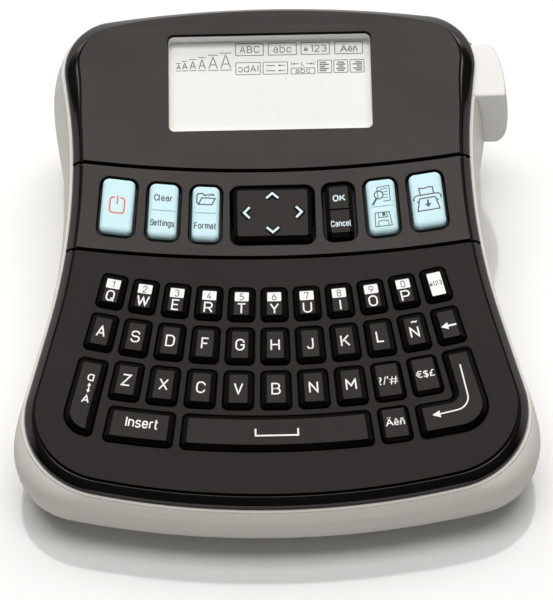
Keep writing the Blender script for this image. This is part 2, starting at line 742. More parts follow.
def border_level(share, depth, across=1.0):
    """One ring of the border: across goes over the groove, then share goes over the roll."""
    ring = []
    for x, y, a in cover_ring:
        rear = max(0.0, math.sin(a)) if y > 0 else 0.0
        reach = FACE_OUT * rear ** 8 * max(0.0, 1 - (x / FACE_OUT_X) ** 2)
        back = FACE_BACK * ease((y - 43) / 17) * ease((abs(x) - 34) / 18)
        inner = reach - back + across * (GROOVE_W - GROOVE_NARROWER * rear ** 2)
        out = inner + (BORDER_W + REAR_ROLL * rear ** 4 - inner) * share
        ring.append((x + out * math.cos(a), y + out * math.sin(a),
                     top_z(y) - depth / math.cos(slope(y))))
    return ring


def cover_blank():
    """From the underside out to the rim, over the roll, through the groove to the face."""
    rings = [cover_level(-1.6, COVER_T), cover_level(BORDER_W - COVER_T, BORDER_DROP),
             border_level(1, BORDER_DROP)]
    rings += [border_level(share, depth) for share, depth in BORDER_PROFILE]
    rings += [border_level(0, GROOVE_DEPTH, 0.98), border_level(0, GROOVE_DEPTH, 0.14),
              border_level(0, 0.06, 0.03), border_level(0, 0, 0)]
    slots = [GLOSSY] * (len(rings) - 5) + [SATIN, SATIN, SATIN, GLOSSY]
    return loft("covers", rings, COVER_MATERIALS, slots, (GLOSSY, GRAINED), strips=True)


covers = cover_blank()
print("blank of the covers:", len(covers.data.polygons), "faces")

# %% [markdown]
# ## Seams, key holes and window
#
# Openings could be left out of a mesh by hand, but a boolean with a plain cutter is
# exact and leaves the arc as it is. Each cutter is straight below the surface and
# flares a little at the top. The flare leaves the small round edge of a moulded
# hole, which catches a thin line of light.

# %% Cutters
# (offset inwards, height) up the wall of a key hole
EDGE = ((0, -6), (0, -0.32), (-0.05, -0.16), (-0.16, -0.05), (-0.32, 0.0), (-1.0, 0.4), (-1.0, 3))
SEAM_R, SEAM_GAP, REAR_SEAM, FRONT_SEAM = 385, 1.0, 28, 0.7
SEAM_HALF, SEAM_STEPS = 74, 90
WINDOW_Y, WINDOW_W, WINDOW_LEN, WINDOW_DEPTH, WINDOW_R = 55.2, 59.6, 30.6, 3.6, 1.6
# wall of the pale frame inside the window, rim of the cover over it, gap round it
FRAME_WALL, RIM_T, LCD_GAP = 1.2, 0.16, 0.12
window_place = on_top(0, WINDOW_Y)


def hole_cutter(name, ring, place):
    return prism(name, ring, EDGE, COVER_MATERIALS, place, [SATIN] * 4 + [GRAINED] * 2)


def seam_y(y0, x):
    return y0 + SEAM_R - math.sqrt(SEAM_R ** 2 - x * x)


def along_seam(name, y0, section, slot, half=SEAM_HALF):
    """A bar that follows a seam; section is (offset along Y, height above the top)."""
    rings = []
    for k in range(SEAM_STEPS + 1):
        x = -half + 2 * half * k / SEAM_STEPS
        y = seam_y(y0, x)
        rings.append([(x, y + d, top_z(y + d) + h) for d, h in section])
    return in_slot(loft(name, rings, COVER_MATERIALS), slot)


def window_ring(steps=6):
    return lambda d: rounded(rectangle(WINDOW_W, WINDOW_LEN), [WINDOW_R] * 4, d, steps)


def window_cutter():
    """Leaves a thin rim that overhangs the frame by its wall."""
    rim = -FRAME_WALL - LCD_GAP
    levels = [(rim, -9), (rim, -RIM_T), (0, -RIM_T), (0, 0.16), (-0.05, 0.24), (-0.8, 0.9), (-0.8, 3)]
    return prism("window", window_ring(), levels, COVER_MATERIALS, window_place, [SATIN] * 6)


g = SEAM_GAP / 2
wall = [(g, -9), (g, -0.14), (g + 0.03, -0.05), (g + 0.1, 0), (g + 0.5, 0.2), (g + 0.5, 4)]
groove = [(-g, -9)] + wall + [(-d, h) for d, h in wall[:0:-1]]
cutters = [along_seam("seam", y, groove, SATIN) for y in (REAR_SEAM, FRONT_SEAM)]
cutters += [hole_cutter(name, key_ring(spec), key_place(spec)) for name, spec in KEYS.items()]
cutters += [hole_cutter(name, function_ring(spec), function_place(spec))
            for name, spec in FUNCTION.items()]
cutters.append(window_cutter())
combine(covers, join("cutters", cutters), "DIFFERENCE")
print("covers with their openings:", len(covers.data.polygons), "faces")


# %% [markdown]
# ## Apart again
#
# After the cuts, the blank is one mesh of loose parts. Separating by hand would have
# to be done again after every change, so the parts are found by walking from face to
# face, and each goes to a cover by the place of its middle. The cover over the keys
# has a duller grain than the other two.

# %% Into three
def split_by_place(whole, names, limits):
    """Cuts a mesh of loose parts into named pieces, by the Y of their middles."""
    source = bmesh.new()
    source.from_mesh(whole.data)
    seen, islands = set(), []
    for face in source.faces:
        if face.index in seen:
            continue
        stack, island = [face], []
        seen.add(face.index)
        while stack:
            f = stack.pop()
            island.append(f)
            for e in f.edges:
                for other in e.link_faces:
                    if other.index not in seen:
                        seen.add(other.index)
                        stack.append(other)
        islands.append(island)
    out = []
    for name, (low, high) in zip(names, limits):
        points, faces, slots, index = [], [], [], {}
        for island in islands:
            ys = [v.co.y / MM for f in island for v in f.verts]
            middle = (min(ys) + max(ys)) / 2
            if not low <= middle < high:
                continue
            for f in island:
                face = []
                for v in f.verts:
                    if v not in index:
                        index[v] = len(points)
                        points.append(v.co / MM)
                    face.append(index[v])
                faces.append(face)
                slots.append(f.material_index)
        out.append(mesh_from(name, points, faces, slots, whole.data.materials))
    source.free()
    bpy.data.objects.remove(whole)
    return out


display, strip, keyboard = split_by_place(
    covers, ("display_cover_skin", "function_strip_skin", "keyboard_skin"),
    ((REAR_SEAM, 100), (FRONT_SEAM, REAR_SEAM), (-100, FRONT_SEAM)))

# the strip reaches under its two neighbours, so no light falls through the seams
LEDGE_Z = (-2.7, -1.9)
ledges = [along_seam("ledge", y, [(a, LEDGE_Z[0]), (b, LEDGE_Z[0]), (b, LEDGE_Z[1]), (a, LEDGE_Z[1])],
                     GLOSSY, half)
          for y, a, b, half in ((REAR_SEAM, -1.6, 2.4, 56.5), (FRONT_SEAM, -2.4, 1.6, 58.5))]
strip = join("function_strip_skin", [strip] + ledges)
keyboard.data.materials[GRAINED] = matt_grain


def arc_normal(p):
    """The direction in which the top faces at p."""
    return Vector((0, -math.sin(slope(p.y)), math.cos(slope(p.y))))


for piece, node in ((display, "display_cover"), (strip, "function_panel"), (keyboard, "keyboard_panel")):
    smooth(piece, 22)
    settle_normals(piece, arc_normal)
    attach(piece, "case")
    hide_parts(node)
    print(piece.name, len(piece.data.polygons), "faces")

# %% [markdown]
# ## The lower case
#
# The case is a bowl with a lip. Under the lip the wall flares out, leans back in a
# little, and curls under to the floor. Extruding one outline could not follow both
# the waist and the arc, so the case is lofted from the two outlines. The two bays,
# the notch for the button and the openings are cut out, as in the mould. The
# outside is lacquered, and what the spray doesn't reach stays bare grey.

# %% Blank of the case
CASE_MATERIALS, LACQUERED, BARE = (case_silver, bare_grey), 0, 1


def case_blank():
    """Rings up the outside from the floor to the lip, then down the inside."""
    rings, steps = [], 12
    for k in range(steps):
        a = math.pi / 2 * (1 - k / steps)
        rings.append(case_level(WALL_LEAN, BELLY * (1 - math.sin(a)), BELLY_CURL * (1 - math.cos(a))))
    rings += [wall_level(1 - k / 28, 0) for k in range(29)]
    rings += [cover_level(LIP_OUT - 0.03, LIP_DROP + 0.14), cover_level(LIP_OUT - 0.16, LIP_DROP)]
    outside = len(rings) - 1
    rings.append(cover_level(LIP_OUT - CASE_WALL, LIP_DROP))
    rings += [wall_level(t, CASE_WALL) for t in (0.1, 0.45, 1)]
    rings.append(case_level(CASE_WALL, FLOOR_T, 0.5 * BELLY_CURL))
    bands = [LACQUERED] * (outside + 1) + [BARE] * (len(rings) - outside - 2)
    return loft("lower_case", rings, CASE_MATERIALS, bands, (LACQUERED, BARE), strips=True)


case = case_blank()
print("blank of the case:", len(case.data.polygons), "faces")


# %% Tools that cut or add bare plastic
def tool_box(x0, x1, y0, y1, z0, z1):
    return in_slot(box_piece("tool", (x0, y0, z0), (x1, y1, z1), CASE_MATERIALS), BARE)


def tool_cylinder(r, z0, z1, place):
    return in_slot(cylinder("tool", r, z0, z1, place, CASE_MATERIALS), BARE)


def upright(x, y):
    return Matrix.Translation((x, y, 0))


def along_x(x, y, z):
    return Matrix.Translation((x, y, z)) @ Matrix.Rotation(math.pi / 2, 4, "Y")


def along_y(x, y, z):
    return Matrix.Translation((x, y, z)) @ Matrix.Rotation(-math.pi / 2, 4, "X")


# %% [markdown]
# ## Bays, wells and openings
#
# The underside holds a bay for the cells and one for the label cassette, three wells
# for screws and four shallow rounds for the feet. The rear wall has the slot for the
# label and the mouth of the power socket. First the walls of the bays and the pillars
# are added, then every room is cut out with its real size.

# %% Bays and openings
REAR, FRONT, WALL = 81, -81, 1.2
FLOOR_TOP = FOOT_H + FLOOR_T
# the bays as x from, x to, y from, y to, with the room above the floor
BAY, BAY_H = (-44.9, 44.9, -20.35, 33.15), 15.3
CASSETTE, CASSETTE_H = (-30.6, 44.6, 34.5, 72.7), 20
# a taller pocket in the cassette bay, for the blade and the end of the button
MECHANISM_X, POCKET_LEN, POCKET_ABOVE = 30.6, 18, 9.6
TAPE_X, TAPE_W, TAPE_Z = 34.6, 3.2, (1.5, 19.5)
BUTTON_Y, BUTTON_LEN, BUTTON_X, BUTTON_H, BUTTON_GAP = 52.5, 16.2, 70.6, 20.8, 0.3
BUTTON_BOTTOM = top_z(BUTTON_Y) - BORDER_DROP - BUTTON_H
NOTCH_X = CASSETTE[1] + WALL + 0.01
PLUNGER_Z, PLUNGER_H, PLUNGER_GAP = BUTTON_BOTTOM + 2.4, 7, 0.3
# the power socket: its place, its round opening and the block behind it
JACK, JACK_R, JACK_BLOCK = (-38, 14), 4.2, 3
DOOR_GAP, PIN_R, PIN_LEN, HINGE_Z = 0.3, 0.76, 1.5, FOOT_H + FLOOR_T / 2
FEET = [(side * x, y) for side in (-1, 1) for x, y in ((52, FRONT + 23), (50.3, REAR - 21))]
FOOT_ROUND_R, FOOT_ROUND_DEPTH = 4.05, 0.65
# a screw sits at the bottom of a well, which is cut into a pillar
WELLS = ((-36.9, FRONT + 30), (36.9, FRONT + 30), (-42.9, REAR - 34))
PILLAR_R, PILLAR_H, WELL_R, WELL_DEPTH, SCREW_HOLE_R = 5, 9, 3, 6.6, 1.3
# added solids start a little above the underside, so that no two faces share a plane
SINK = 0.02


def bay_box(x0, x1, y0, y1, h):
    return tool_box(x0 - WALL, x1 + WALL, y0 - WALL, y1 + WALL, FOOT_H + SINK, FLOOR_TOP + h + WALL)


pocket_y, pocket_top = CASSETTE[3] - POCKET_LEN, PLUNGER_Z + POCKET_ABOVE
solids = [bay_box(*BAY, BAY_H), bay_box(*CASSETTE, CASSETTE_H),
          bay_box(MECHANISM_X, CASSETTE[1], pocket_y, CASSETTE[3], pocket_top - FLOOR_TOP)]
solids += [tool_cylinder(PILLAR_R, FOOT_H + SINK, FOOT_H + PILLAR_H, upright(x, y)) for x, y in WELLS]
solids.append(tool_box(JACK[0] - JACK_BLOCK, JACK[0] + JACK_BLOCK, REAR - 17, REAR - 7,
                       FOOT_H + 0.5, JACK[1] - 4.6))
for solid in solids:
    combine(case, solid, "UNION")
print("case with bay walls and pillars:", len(case.data.polygons), "faces")

# %% Rooms cut out of the case
button_end = BUTTON_Y + BUTTON_LEN
rooms = [
    # the two bays, open underneath, and the pocket above the second
    tool_box(*BAY, -1, FLOOR_TOP + BAY_H),
    tool_box(*CASSETTE, -1, FLOOR_TOP + CASSETTE_H),
    tool_box(MECHANISM_X, CASSETTE[1], pocket_y, CASSETTE[3], 10, pocket_top),
    # the notch for the button and the opening for its plunger
    tool_box(NOTCH_X, 90, BUTTON_Y - BUTTON_GAP, button_end + 0.1, BUTTON_BOTTOM - BUTTON_GAP, 70),
    tool_box(CASSETTE[1] - 1, NOTCH_X + 1, button_end - 8.3, button_end - 0.7,
             PLUNGER_Z - PLUNGER_GAP, PLUNGER_Z + PLUNGER_H + PLUNGER_GAP),
    # the slot where the label comes out, and the mouth of the power socket
    tool_box(TAPE_X - TAPE_W / 2, TAPE_X + TAPE_W / 2, CASSETTE[3] - 1, REAR + 2,
             FLOOR_TOP + TAPE_Z[0], FLOOR_TOP + TAPE_Z[1]),
    tool_cylinder(JACK_R, -6, 6, along_y(JACK[0], REAR, JACK[1]))]
for x0, x1, y in (BAY[:3], CASSETTE[:3]):
    rooms.append(tool_cylinder(PIN_R, x0 - PIN_LEN, x1 + PIN_LEN,
                               along_x(0, y + FLOOR_T / 2 + DOOR_GAP, HINGE_Z)))
for x, y in FEET:
    rooms.append(tool_cylinder(FOOT_ROUND_R, -1, FOOT_H + FOOT_ROUND_DEPTH, upright(x, y)))
for x, y in WELLS:
    rooms.append(tool_cylinder(WELL_R, -1, FOOT_H + WELL_DEPTH, upright(x, y)))
    rooms.append(tool_cylinder(SCREW_HOLE_R, 5, FOOT_H + 10, upright(x, y)))
for room in rooms:
    combine(case, room, "DIFFERENCE")
smooth(case, 30)
print("lower case:", len(case.data.polygons), "faces")

# %% [markdown]
# ## Ribs and screws
#
# What repeats is grown by geometry nodes. Ten ribs hang from the roof of the
# battery bay and keep the cells apart: one rib on every point of a grid. Three
# screws sit in the wells of the underside: one screw on every point it is given,
# with a cross cut into the head by a mesh boolean. An array modifier could repeat
# the ribs too, but a tree has named inputs, so a size is changed in one place.
# Each tree ends in Realize Instances and Set Material, and the grown mesh is
# joined to the case.

# %% Building and running a tree
def growing_tree(name, inputs):
    """An empty tree with named inputs; returns it with its two end nodes."""
    tree = bpy.data.node_groups.new(name, "GeometryNodeTree")
    tree.interface.new_socket("Geometry", in_out="INPUT", socket_type="NodeSocketGeometry")
    tree.interface.new_socket("Geometry", in_out="OUTPUT", socket_type="NodeSocketGeometry")
    for label, value in inputs.items():
        kind = "NodeSocketInt" if isinstance(value, int) else "NodeSocketFloat"
        tree.interface.new_socket(label, in_out="INPUT", socket_type=kind).default_value = value
    return tree, tree.nodes.new("NodeGroupInput"), tree.nodes.new("NodeGroupOutput")


def end_with(tree, instances, material, last):
    """Makes the instances real and gives them their material."""
    real = add(tree, "GeometryNodeRealizeInstances", {"Geometry": instances})
    done = add(tree, "GeometryNodeSetMaterial", {"Geometry": real.outputs[0], "Material": material})
    tree.links.new(done.outputs[0], last.inputs["Geometry"])
    return tree


def grow(name, tree, points, sizes):
    """Runs a tree on a few points and returns the plain mesh."""
    seed = mesh_from(name + "_points", points, [])
    modifier = seed.modifiers.new("grow", "NODES")
    modifier.node_group = tree
    for item in tree.interface.items_tree:
        if item.in_out == "INPUT" and item.name in sizes:
            modifier[item.identifier] = sizes[item.name]
    graph = bpy.context.evaluated_depsgraph_get()
    mesh = bpy.data.meshes.new_from_object(seed.evaluated_get(graph), depsgraph=graph)
    grown = bpy.data.objects.new(name, mesh)
    bpy.context.collection.objects.link(grown)
    seed.modifiers.clear()
    bpy.data.objects.remove(seed)
    return grown


# %% A tree for ribs
def rib_tree():
    """A box on every point of a grid."""
    tree, first, last = growing_tree("grow_ribs", {
        "Columns": 5, "Rows": 2, "Pitch": 0.01, "Row Pitch": 0.01,
        "Thickness": 0.001, "Length": 0.01, "Height": 0.003})
    size = first.outputs
    spans = []
    for count, pitch in (("Columns", "Pitch"), ("Rows", "Row Pitch")):
        steps = add(tree, "ShaderNodeMath", {0: size[count], 1: 1.0}, operation="SUBTRACT").outputs[0]
        span = add(tree, "ShaderNodeMath", {0: steps, 1: size[pitch]}, operation="MULTIPLY")
        spans.append(span.outputs[0])
    grid = add(tree, "GeometryNodeMeshGrid", {"Size X": spans[0], "Size Y": spans[1],
                                              "Vertices X": size["Columns"], "Vertices Y": size["Rows"]})
    rib_size = add(tree, "ShaderNodeCombineXYZ",
                   {"X": size["Thickness"], "Y": size["Length"], "Z": size["Height"]})
    rib = add(tree, "GeometryNodeMeshCube", {"Size": rib_size.outputs[0]})
    many = add(tree, "GeometryNodeInstanceOnPoints", {"Points": grid.outputs["Mesh"],
                                                      "Instance": rib.outputs["Mesh"]})
    return end_with(tree, many.outputs[0], bare_grey, last)


RIB_T, RIB_H, RIB_LEN, CELL_PITCH = 1.0, 3.6, (BAY[3] - BAY[2]) / 4, 14.9
ribs = grow("cell_ribs", rib_tree(), [(0, 0, 0)],
            {"Columns": 5, "Rows": 2, "Pitch": CELL_PITCH * MM, "Row Pitch": 2 * RIB_LEN * MM,
             "Thickness": RIB_T * MM, "Length": RIB_LEN * MM, "Height": RIB_H * MM})
# the ribs reach 3 mm down from the roof of the bay, and the rest is inside the roof
rib_middle = Vector((0, (BAY[2] + BAY[3]) / 2, FLOOR_TOP + BAY_H - 3 + RIB_H / 2))
ribs.data.transform(Matrix.Translation(rib_middle * MM))
print("ribs:", len(ribs.data.polygons), "faces")


# %% A tree for screws
def screw_tree():
    """A bevelled head with a cross cut into it, and a shank above it."""
    tree, first, last = growing_tree("grow_screws", {
        "Head Radius": 0.0026, "Head Height": 0.0014, "Shank Radius": 0.0012,
        "Shank Length": 0.002, "Recess": 0.003})
    size = first.outputs
    rim = add(tree, "ShaderNodeMath", {0: size["Head Radius"], 1: 0.84}, operation="MULTIPLY").outputs[0]
    head = add(tree, "GeometryNodeMeshCone", {"Vertices": 40, "Radius Top": size["Head Radius"],
                                              "Radius Bottom": rim, "Depth": size["Head Height"]})
    arms = tree.nodes.new("GeometryNodeJoinGeometry")
    for x, y in ((size["Recess"], 0.0005), (0.0005, size["Recess"])):
        arm_size = add(tree, "ShaderNodeCombineXYZ", {"X": x, "Y": y, "Z": 0.0018})
        arm = add(tree, "GeometryNodeMeshCube", {"Size": arm_size.outputs[0]})
        tree.links.new(arm.outputs["Mesh"], arms.inputs[0])
    cut = tree.nodes.new("GeometryNodeMeshBoolean")
    cut.operation, cut.solver = "DIFFERENCE", "EXACT"
    tree.links.new(head.outputs["Mesh"], cut.inputs["Mesh 1"])
    tree.links.new(arms.outputs[0], cut.inputs["Mesh 2"])
    shank = add(tree, "GeometryNodeMeshCylinder", {"Vertices": 32, "Radius": size["Shank Radius"],
                                                   "Depth": size["Shank Length"]})
    half = add(tree, "ShaderNodeMath", {0: size["Shank Length"], 1: 0.5}, operation="MULTIPLY").outputs[0]
    up = add(tree, "ShaderNodeMath", {0: half, 1: size["Head Height"]}, operation="ADD").outputs[0]
    lift = add(tree, "ShaderNodeCombineXYZ", {"Z": up})
    raised = add(tree, "GeometryNodeTransform", {"Geometry": shank.outputs["Mesh"],
                                                 "Translation": lift.outputs[0]})
    screw = tree.nodes.new("GeometryNodeJoinGeometry")
    tree.links.new(cut.outputs["Mesh"], screw.inputs[0])
    tree.links.new(raised.outputs[0], screw.inputs[0])
    many = add(tree, "GeometryNodeInstanceOnPoints", {"Points": first.outputs["Geometry"],
                                                      "Instance": screw.outputs[0]})
    return end_with(tree, many.outputs[0], steel, last)


screws = grow("case_screws", screw_tree(), [(x, y, FOOT_H + 5.1) for x, y in WELLS],
              {"Head Radius": 2.5 * MM, "Head Height": 1.5 * MM, "Shank Radius": 1.2 * MM,
               "Shank Length": 3.2 * MM, "Recess": 3.0 * MM})
smooth(screws, 40)
case = join("lower_case_with_screws", [case, ribs, screws])
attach(case, "case")
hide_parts("base_shell")
print("lower case with ribs and screws:", len(case.data.polygons), "faces")

# %% [markdown]
# ## The cutter button
#
# A finger pushes this block into the case to cut the label. Seen from above its
# outer face is bowed, seen from the front its lower corner is round and its top
# follows the covers. A bevelled box would have the same round everywhere, so it is
# lofted along Y instead, a cross-section every half millimetre, and the sections
# shrink at the two ends to round those edges.

# %% Button
BOW_R, CORNER_W, CORNER_H = 32, 3.4, 6.4
BUTTON_INNER = NOTCH_X + 9
# how far the face leans in at the bottom, radius of its top edge, radius of its rear edge
LEAN, TOP_EDGE, REAR_EDGE = 0.2, 0.6, 1.6


def button_section(y, out, rise):
    """The outline at y as (x, z); out and rise pull its sides and its edges in."""
    bow_x = BUTTON_X - BOW_R + math.sqrt(BOW_R ** 2 - (y - BUTTON_Y - 2) ** 2) - out
    top = top_z(y) - (BORDER_DROP + TOP_EDGE) / math.cos(slope(y)) - rise
    low = BUTTON_BOTTOM + rise
    ring = [(BUTTON_INNER, low)]
    for k in range(11):
        a = -math.pi / 2 + math.pi / 2 * k / 10
        ring.append((bow_x - LEAN - CORNER_W * (1 - math.cos(a)), low + CORNER_H * (1 + math.sin(a))))
    for k in range(1, 8):
        t = k / 8
        ring.append((bow_x - LEAN + LEAN * math.sin(math.pi * t) - 0.9 * t * t,
                     low + CORNER_H + (top - TOP_EDGE - low - CORNER_H) * t))
    for k in range(6):
        a = math.pi / 2 * k / 5
        ring.append((bow_x - 1.1 - TOP_EDGE * (1 - math.cos(a)), top - TOP_EDGE * (1 - math.sin(a))))
    return ring + [(BUTTON_INNER, top)]


def button():
    """The block with the plunger that carries the blade."""
    stations = [(BUTTON_Y, 0.4, 0.4), (BUTTON_Y + 0.12, 0.12, 0.12), (BUTTON_Y + 0.4, 0, 0)]
    stations += [(BUTTON_Y + 0.4 + k * 0.5, 0, 0) for k in range(1, 23)]
    for k in range(8):
        a = math.pi / 2 * (k + 1) / 8
        out = REAR_EDGE * (1 - math.cos(a))
        stations.append((button_end - REAR_EDGE * (1 - math.sin(a)), out, min(0.4, out * 0.4)))
    rings = [[(x, y, z) for x, z in button_section(y, out, rise)][::-1] for y, out, rise in stations]
    body = loft("cutter_button_skin", rings, (button_silver,))
    plunger = box_piece("plunger", (TAPE_X + 8.5, button_end - 8, PLUNGER_Z),
                        (BUTTON_INNER + 0.5, button_end - 1, PLUNGER_Z + PLUNGER_H), (button_silver,))
    return join("cutter_button_skin", [smooth(body, 40), plunger])


cutter = button()
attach(cutter, "cutter")
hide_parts("cutter_button")
print("cutter button:", len(cutter.data.polygons), "faces")

# %% [markdown]
# ## Legends
#
# The legends are printed. An image texture could carry them, but its edges blur
# when seen close. So each one is drawn flat, as strokes or as letters, thickened to
# a film of ink, and then laid on the cap: every point of it drops straight down
# until it meets the surface.

# %% Strokes
# a real film of ink is about 0.01 mm thick; it is drawn thicker, so that it covers cleanly
INK = 0.03
STEP = 0.8


def solid_of(polygons):
    """Flat polygons as points and faces of little prisms, one unit high."""
    points, faces = [], []
    for polygon in polygons:
        n, base = len(polygon), len(points)
        points += [(x, y, 0) for x, y in polygon] + [(x, y, 1) for x, y in polygon]
        faces += [[base + i for i in range(n)][::-1], [base + n + i for i in range(n)]]
        faces += [(base + i, base + (i + 1) % n, base + n + (i + 1) % n, base + n + i)
                  for i in range(n)]
    return points, faces


def subdivide(path, closed):
    """Short steps, so that a stroke can follow a curved cap."""
    out = []
    for p, q in zip(path, path[1:] + path[:1] if closed else path[1:]):
        steps = max(1, math.ceil(math.dist(p, q) / STEP))
        out += [(p[0] + (q[0] - p[0]) * k / steps, p[1] + (q[1] - p[1]) * k / steps)
                for k in range(steps)]
    return out if closed else out + [path[-1]]


def ribbon(path, width, closed=False):
    """A stroke along a path, mitred at its corners, as a row of short quads."""
    path = subdivide(path, closed)
    n, sides = len(path), []
    for i in range(n):
        p = Vector(path[i - 1] if closed or i else path[0])
        q = Vector(path[i])
        r = Vector(path[(i + 1) % n] if closed or i < n - 1 else path[-1])
        a = (q - p).normalized() if (q - p).length else (r - q).normalized()
        b = (r - q).normalized() if (r - q).length else a
        a, b = Vector((-a.y, a.x)), Vector((-b.y, b.x))
        shift = (a + b) * (width / 2) / max(0.35, 1 + a.dot(b))
        sides.append((tuple(q - shift), tuple(q + shift)))
    last = n if closed else n - 1
    return [[sides[i][0], sides[(i + 1) % n][0], sides[(i + 1) % n][1], sides[i][1]]
            for i in range(last)]


def bow(cx, cy, r, a0, a1, n=16):
    """Points on an arc, with its angles in degrees."""
    angles = [math.radians(a0 + (a1 - a0) * i / n) for i in range(n + 1)]
    return [(cx + r * math.cos(a), cy + r * math.sin(a)) for a in angles]


def panel(x0, y0, x1, y1, r=0.0):
    """A filled rectangle, with round corners if r is given."""
    ring = [(x0, y0), (x1, y0), (x1, y1), (x0, y1)]
    return [rounded(ring, [r] * 4, 0, 5, 0.01)] if r else [ring]


def arrow(x0, y0, x1, y1, head, width):
    d = (Vector((x1, y1)) - Vector((x0, y0))).normalized()
    side = Vector((-d.y, d.x))
    tip = Vector((x1, y1))
    neck = tip - d * head
    wing = side * head * 0.55
    return ribbon([(x0, y0), tuple(neck)], width) + [[tuple(neck - wing), tuple(tip), tuple(neck + wing)]]


def padlock(x, y, s):
    body = panel(x - s * 0.5, y - s * 0.6, x + s * 0.5, y + s * 0.15)
    shackle = bow(x, y + s * 0.35, s * 0.3, 180, 0, 8)
    foot = y + s * 0.1
    return body + ribbon([(x - s * 0.3, foot)] + shackle + [(x + s * 0.3, foot)], s * 0.16)


print("a stroke of 4 mm is", len(ribbon([(0, 0), (4, 0)], 0.4)), "quads")

# %% [markdown]
# ## An alphabet of strokes
#
# Legends on small keys are drawn with a line of even width, so that the ink stays
# readable at two millimetres. Each character is a few paths in a box six high.
# A corner is written x,y or x,y,radius, a bar starts a new path, and c closes one.

# %% Characters
GLYPHS = {
    "A": "0,0 2.1,6 4.2,0|.8,1.9 3.4,1.9",
    "B": "0,3.1 0,6 3.6,6,1.4 3.6,3.1,1.4 c|0,0 0,3.1 3.9,3.1,1.5 3.9,0,1.5 c",
    "C": "4,4.3 4,6,1.9 0,6,1.9 0,0,1.9 4,0,1.9 4,1.7",
    "D": "0,0 0,6 4,6,1.9 4,0,1.9 c",
    "E": "3.6,0 0,0 0,6 3.6,6|0,3.1 3.1,3.1",
    "F": "0,0 0,6 3.5,6|0,3 3,3",
    "G": "4,4.3 4,6,1.9 0,6,1.9 0,0,1.9 4,0,1.9 4,2.9 2.2,2.9",
    "H": "0,0 0,6|4,0 4,6|0,3.1 4,3.1",
    "I": "0,0 0,6",
    "J": "2.7,6 2.7,0,1.4 0,0,1.3 0,1.4",
    "K": "0,0 0,6|4,6 .1,2.2|1.5,3.6 4.2,0",
    "L": "0,6 0,0 3.4,0",
    "M": "0,0 0,6 2.4,2.2 4.8,6 4.8,0",
    "N": "0,0 0,6 4,0 4,6",
    "O": "0,0,1.9 4,0,1.9 4,6,1.9 0,6,1.9 c",
    "P": "0,0 0,6 3.9,6,1.6 3.9,2.6,1.6 0,2.6",
    "Q": "0,0,1.9 4,0,1.9 4,6,1.9 0,6,1.9 c|2.4,1.7 4.3,-.3",
    "R": "0,0 0,6 3.9,6,1.6 3.9,2.7,1.6 0,2.7|2.3,2.7 4.1,0",
    "S": "3.8,4.6 3.8,6,1.6 0,6,1.6 0,3.1,1.4 4,3.1,1.4 4,0,1.6 0,0,1.6 0,1.4",
    "T": "0,6 4.2,6|2.1,0 2.1,6",
    "U": "0,6 0,0,1.9 4,0,1.9 4,6",
    "V": "0,6 2.1,0 4.2,6",
    "W": "0,6 1.6,0 3.2,5.4 4.8,0 6.4,6",
    "X": "0,0 4,6|0,6 4,0",
    "Y": "0,6 2.1,2.7 4.2,6|2.1,0 2.1,2.7",
    "Z": "0,6 3.9,6 0,0 4,0",
    "a": "2.9,0 2.9,4.3,1.3 .2,4.3,1.2 .2,3.7|2.9,2.5 0,2.5,1.1 0,0,1.1 2.9,0",
    "round a": "3.4,4.5 3.4,0 0,0,1.6 0,4.4,1.6 3.4,4.4",
    "b": "0,6.2 0,0 3.3,0,1.5 3.3,4.3,1.5 0,4.3",
    "c": "3,3.1 3,4.3,1.4 0,4.3,1.5 0,0,1.5 3,0,1.4 3,1.2",
    "e": "0,2.2 3.2,2.2 3.2,4.3,1.5 0,4.3,1.5 0,0,1.5 3,0,1.2 3,.8",
    "g": "3.3,0 0,0,1.5 0,4.3,1.5 3.3,4.3 3.3,-1.8,1.4 .2,-1.8",
    "i": "0,0 0,4.3|0,5.5 0,6.2",
    "l": "0,6.2 0,0,.7 .9,0",
    "m": "0,0 0,4.3 2.6,4.3,1.2 2.6,0|1.6,4.3 5.2,4.3,1.2 5.2,0",
    "n": "0,0 0,4.3 3.2,4.3,1.5 3.2,0",
    "o": "0,0,1.5 3.4,0,1.5 3.4,4.3,1.5 0,4.3,1.5 c",
    "r": "0,0 0,4.3,1 2.1,4.3",
    "s": "2.8,3.5 2.8,4.3,.8 0,4.3,1.1 0,2.2,1 2.9,2.2,1.05 2.9,0,1.1 0,0,1 0,.8",
    "t": ".8,6 .8,0,.9 2.2,0|0,4.3 2.2,4.3",
    "~": "0,0 .7,.6,.5 1.6,0,.5 2.3,.6",
    "1": "0,4.6 1.8,6 1.8,0",
    "2": "0,4.6 0,6,1.7 3.8,6,1.7 3.8,3.6,1 0,0 4,0",
    "3": "0,4.9 0,6,1.3 3.8,6,1.4 3.8,3.2,1.3 1.5,3.2|1.5,3.2 4,3.2,1.5 4,0,1.6 0,0,1.3 0,1.1",
    "4": "2.5,6 0,1.5 4.2,1.5|3,0 3,3",
    "5": "3.6,6 .4,6 .2,3.5 4,3.9,1.6 4,0,1.8 0,0,1.2 0,1",
    "6": "2.9,6 .2,3,1 0,0,1.7 4,0,1.8 4,3.7,1.7 .5,3.7",
    "7": "0,5 0,6 4,6 1.4,0",
    "8": ".2,3.2,1.4 3.8,3.2,1.4 3.8,6,1.4 .2,6,1.4 c|0,0,1.5 4,0,1.5 4,3.2,1.5 0,3.2,1.5 c",
    "9": "1.1,0 3.8,3,1 4,6,1.7 0,6,1.8 0,2.3,1.7 3.5,2.3",
    "0": "0,0,1.8 3.8,0,1.8 3.8,6,1.8 0,6,1.8 c",
}


print("characters drawn by strokes:", len(GLYPHS))


# %% From characters to signs and words
GLYPH_H, LETTER_GAP = 6, 1.9
CLOSER_PAIRS = ("rt", "tt", "Cl", "Se")


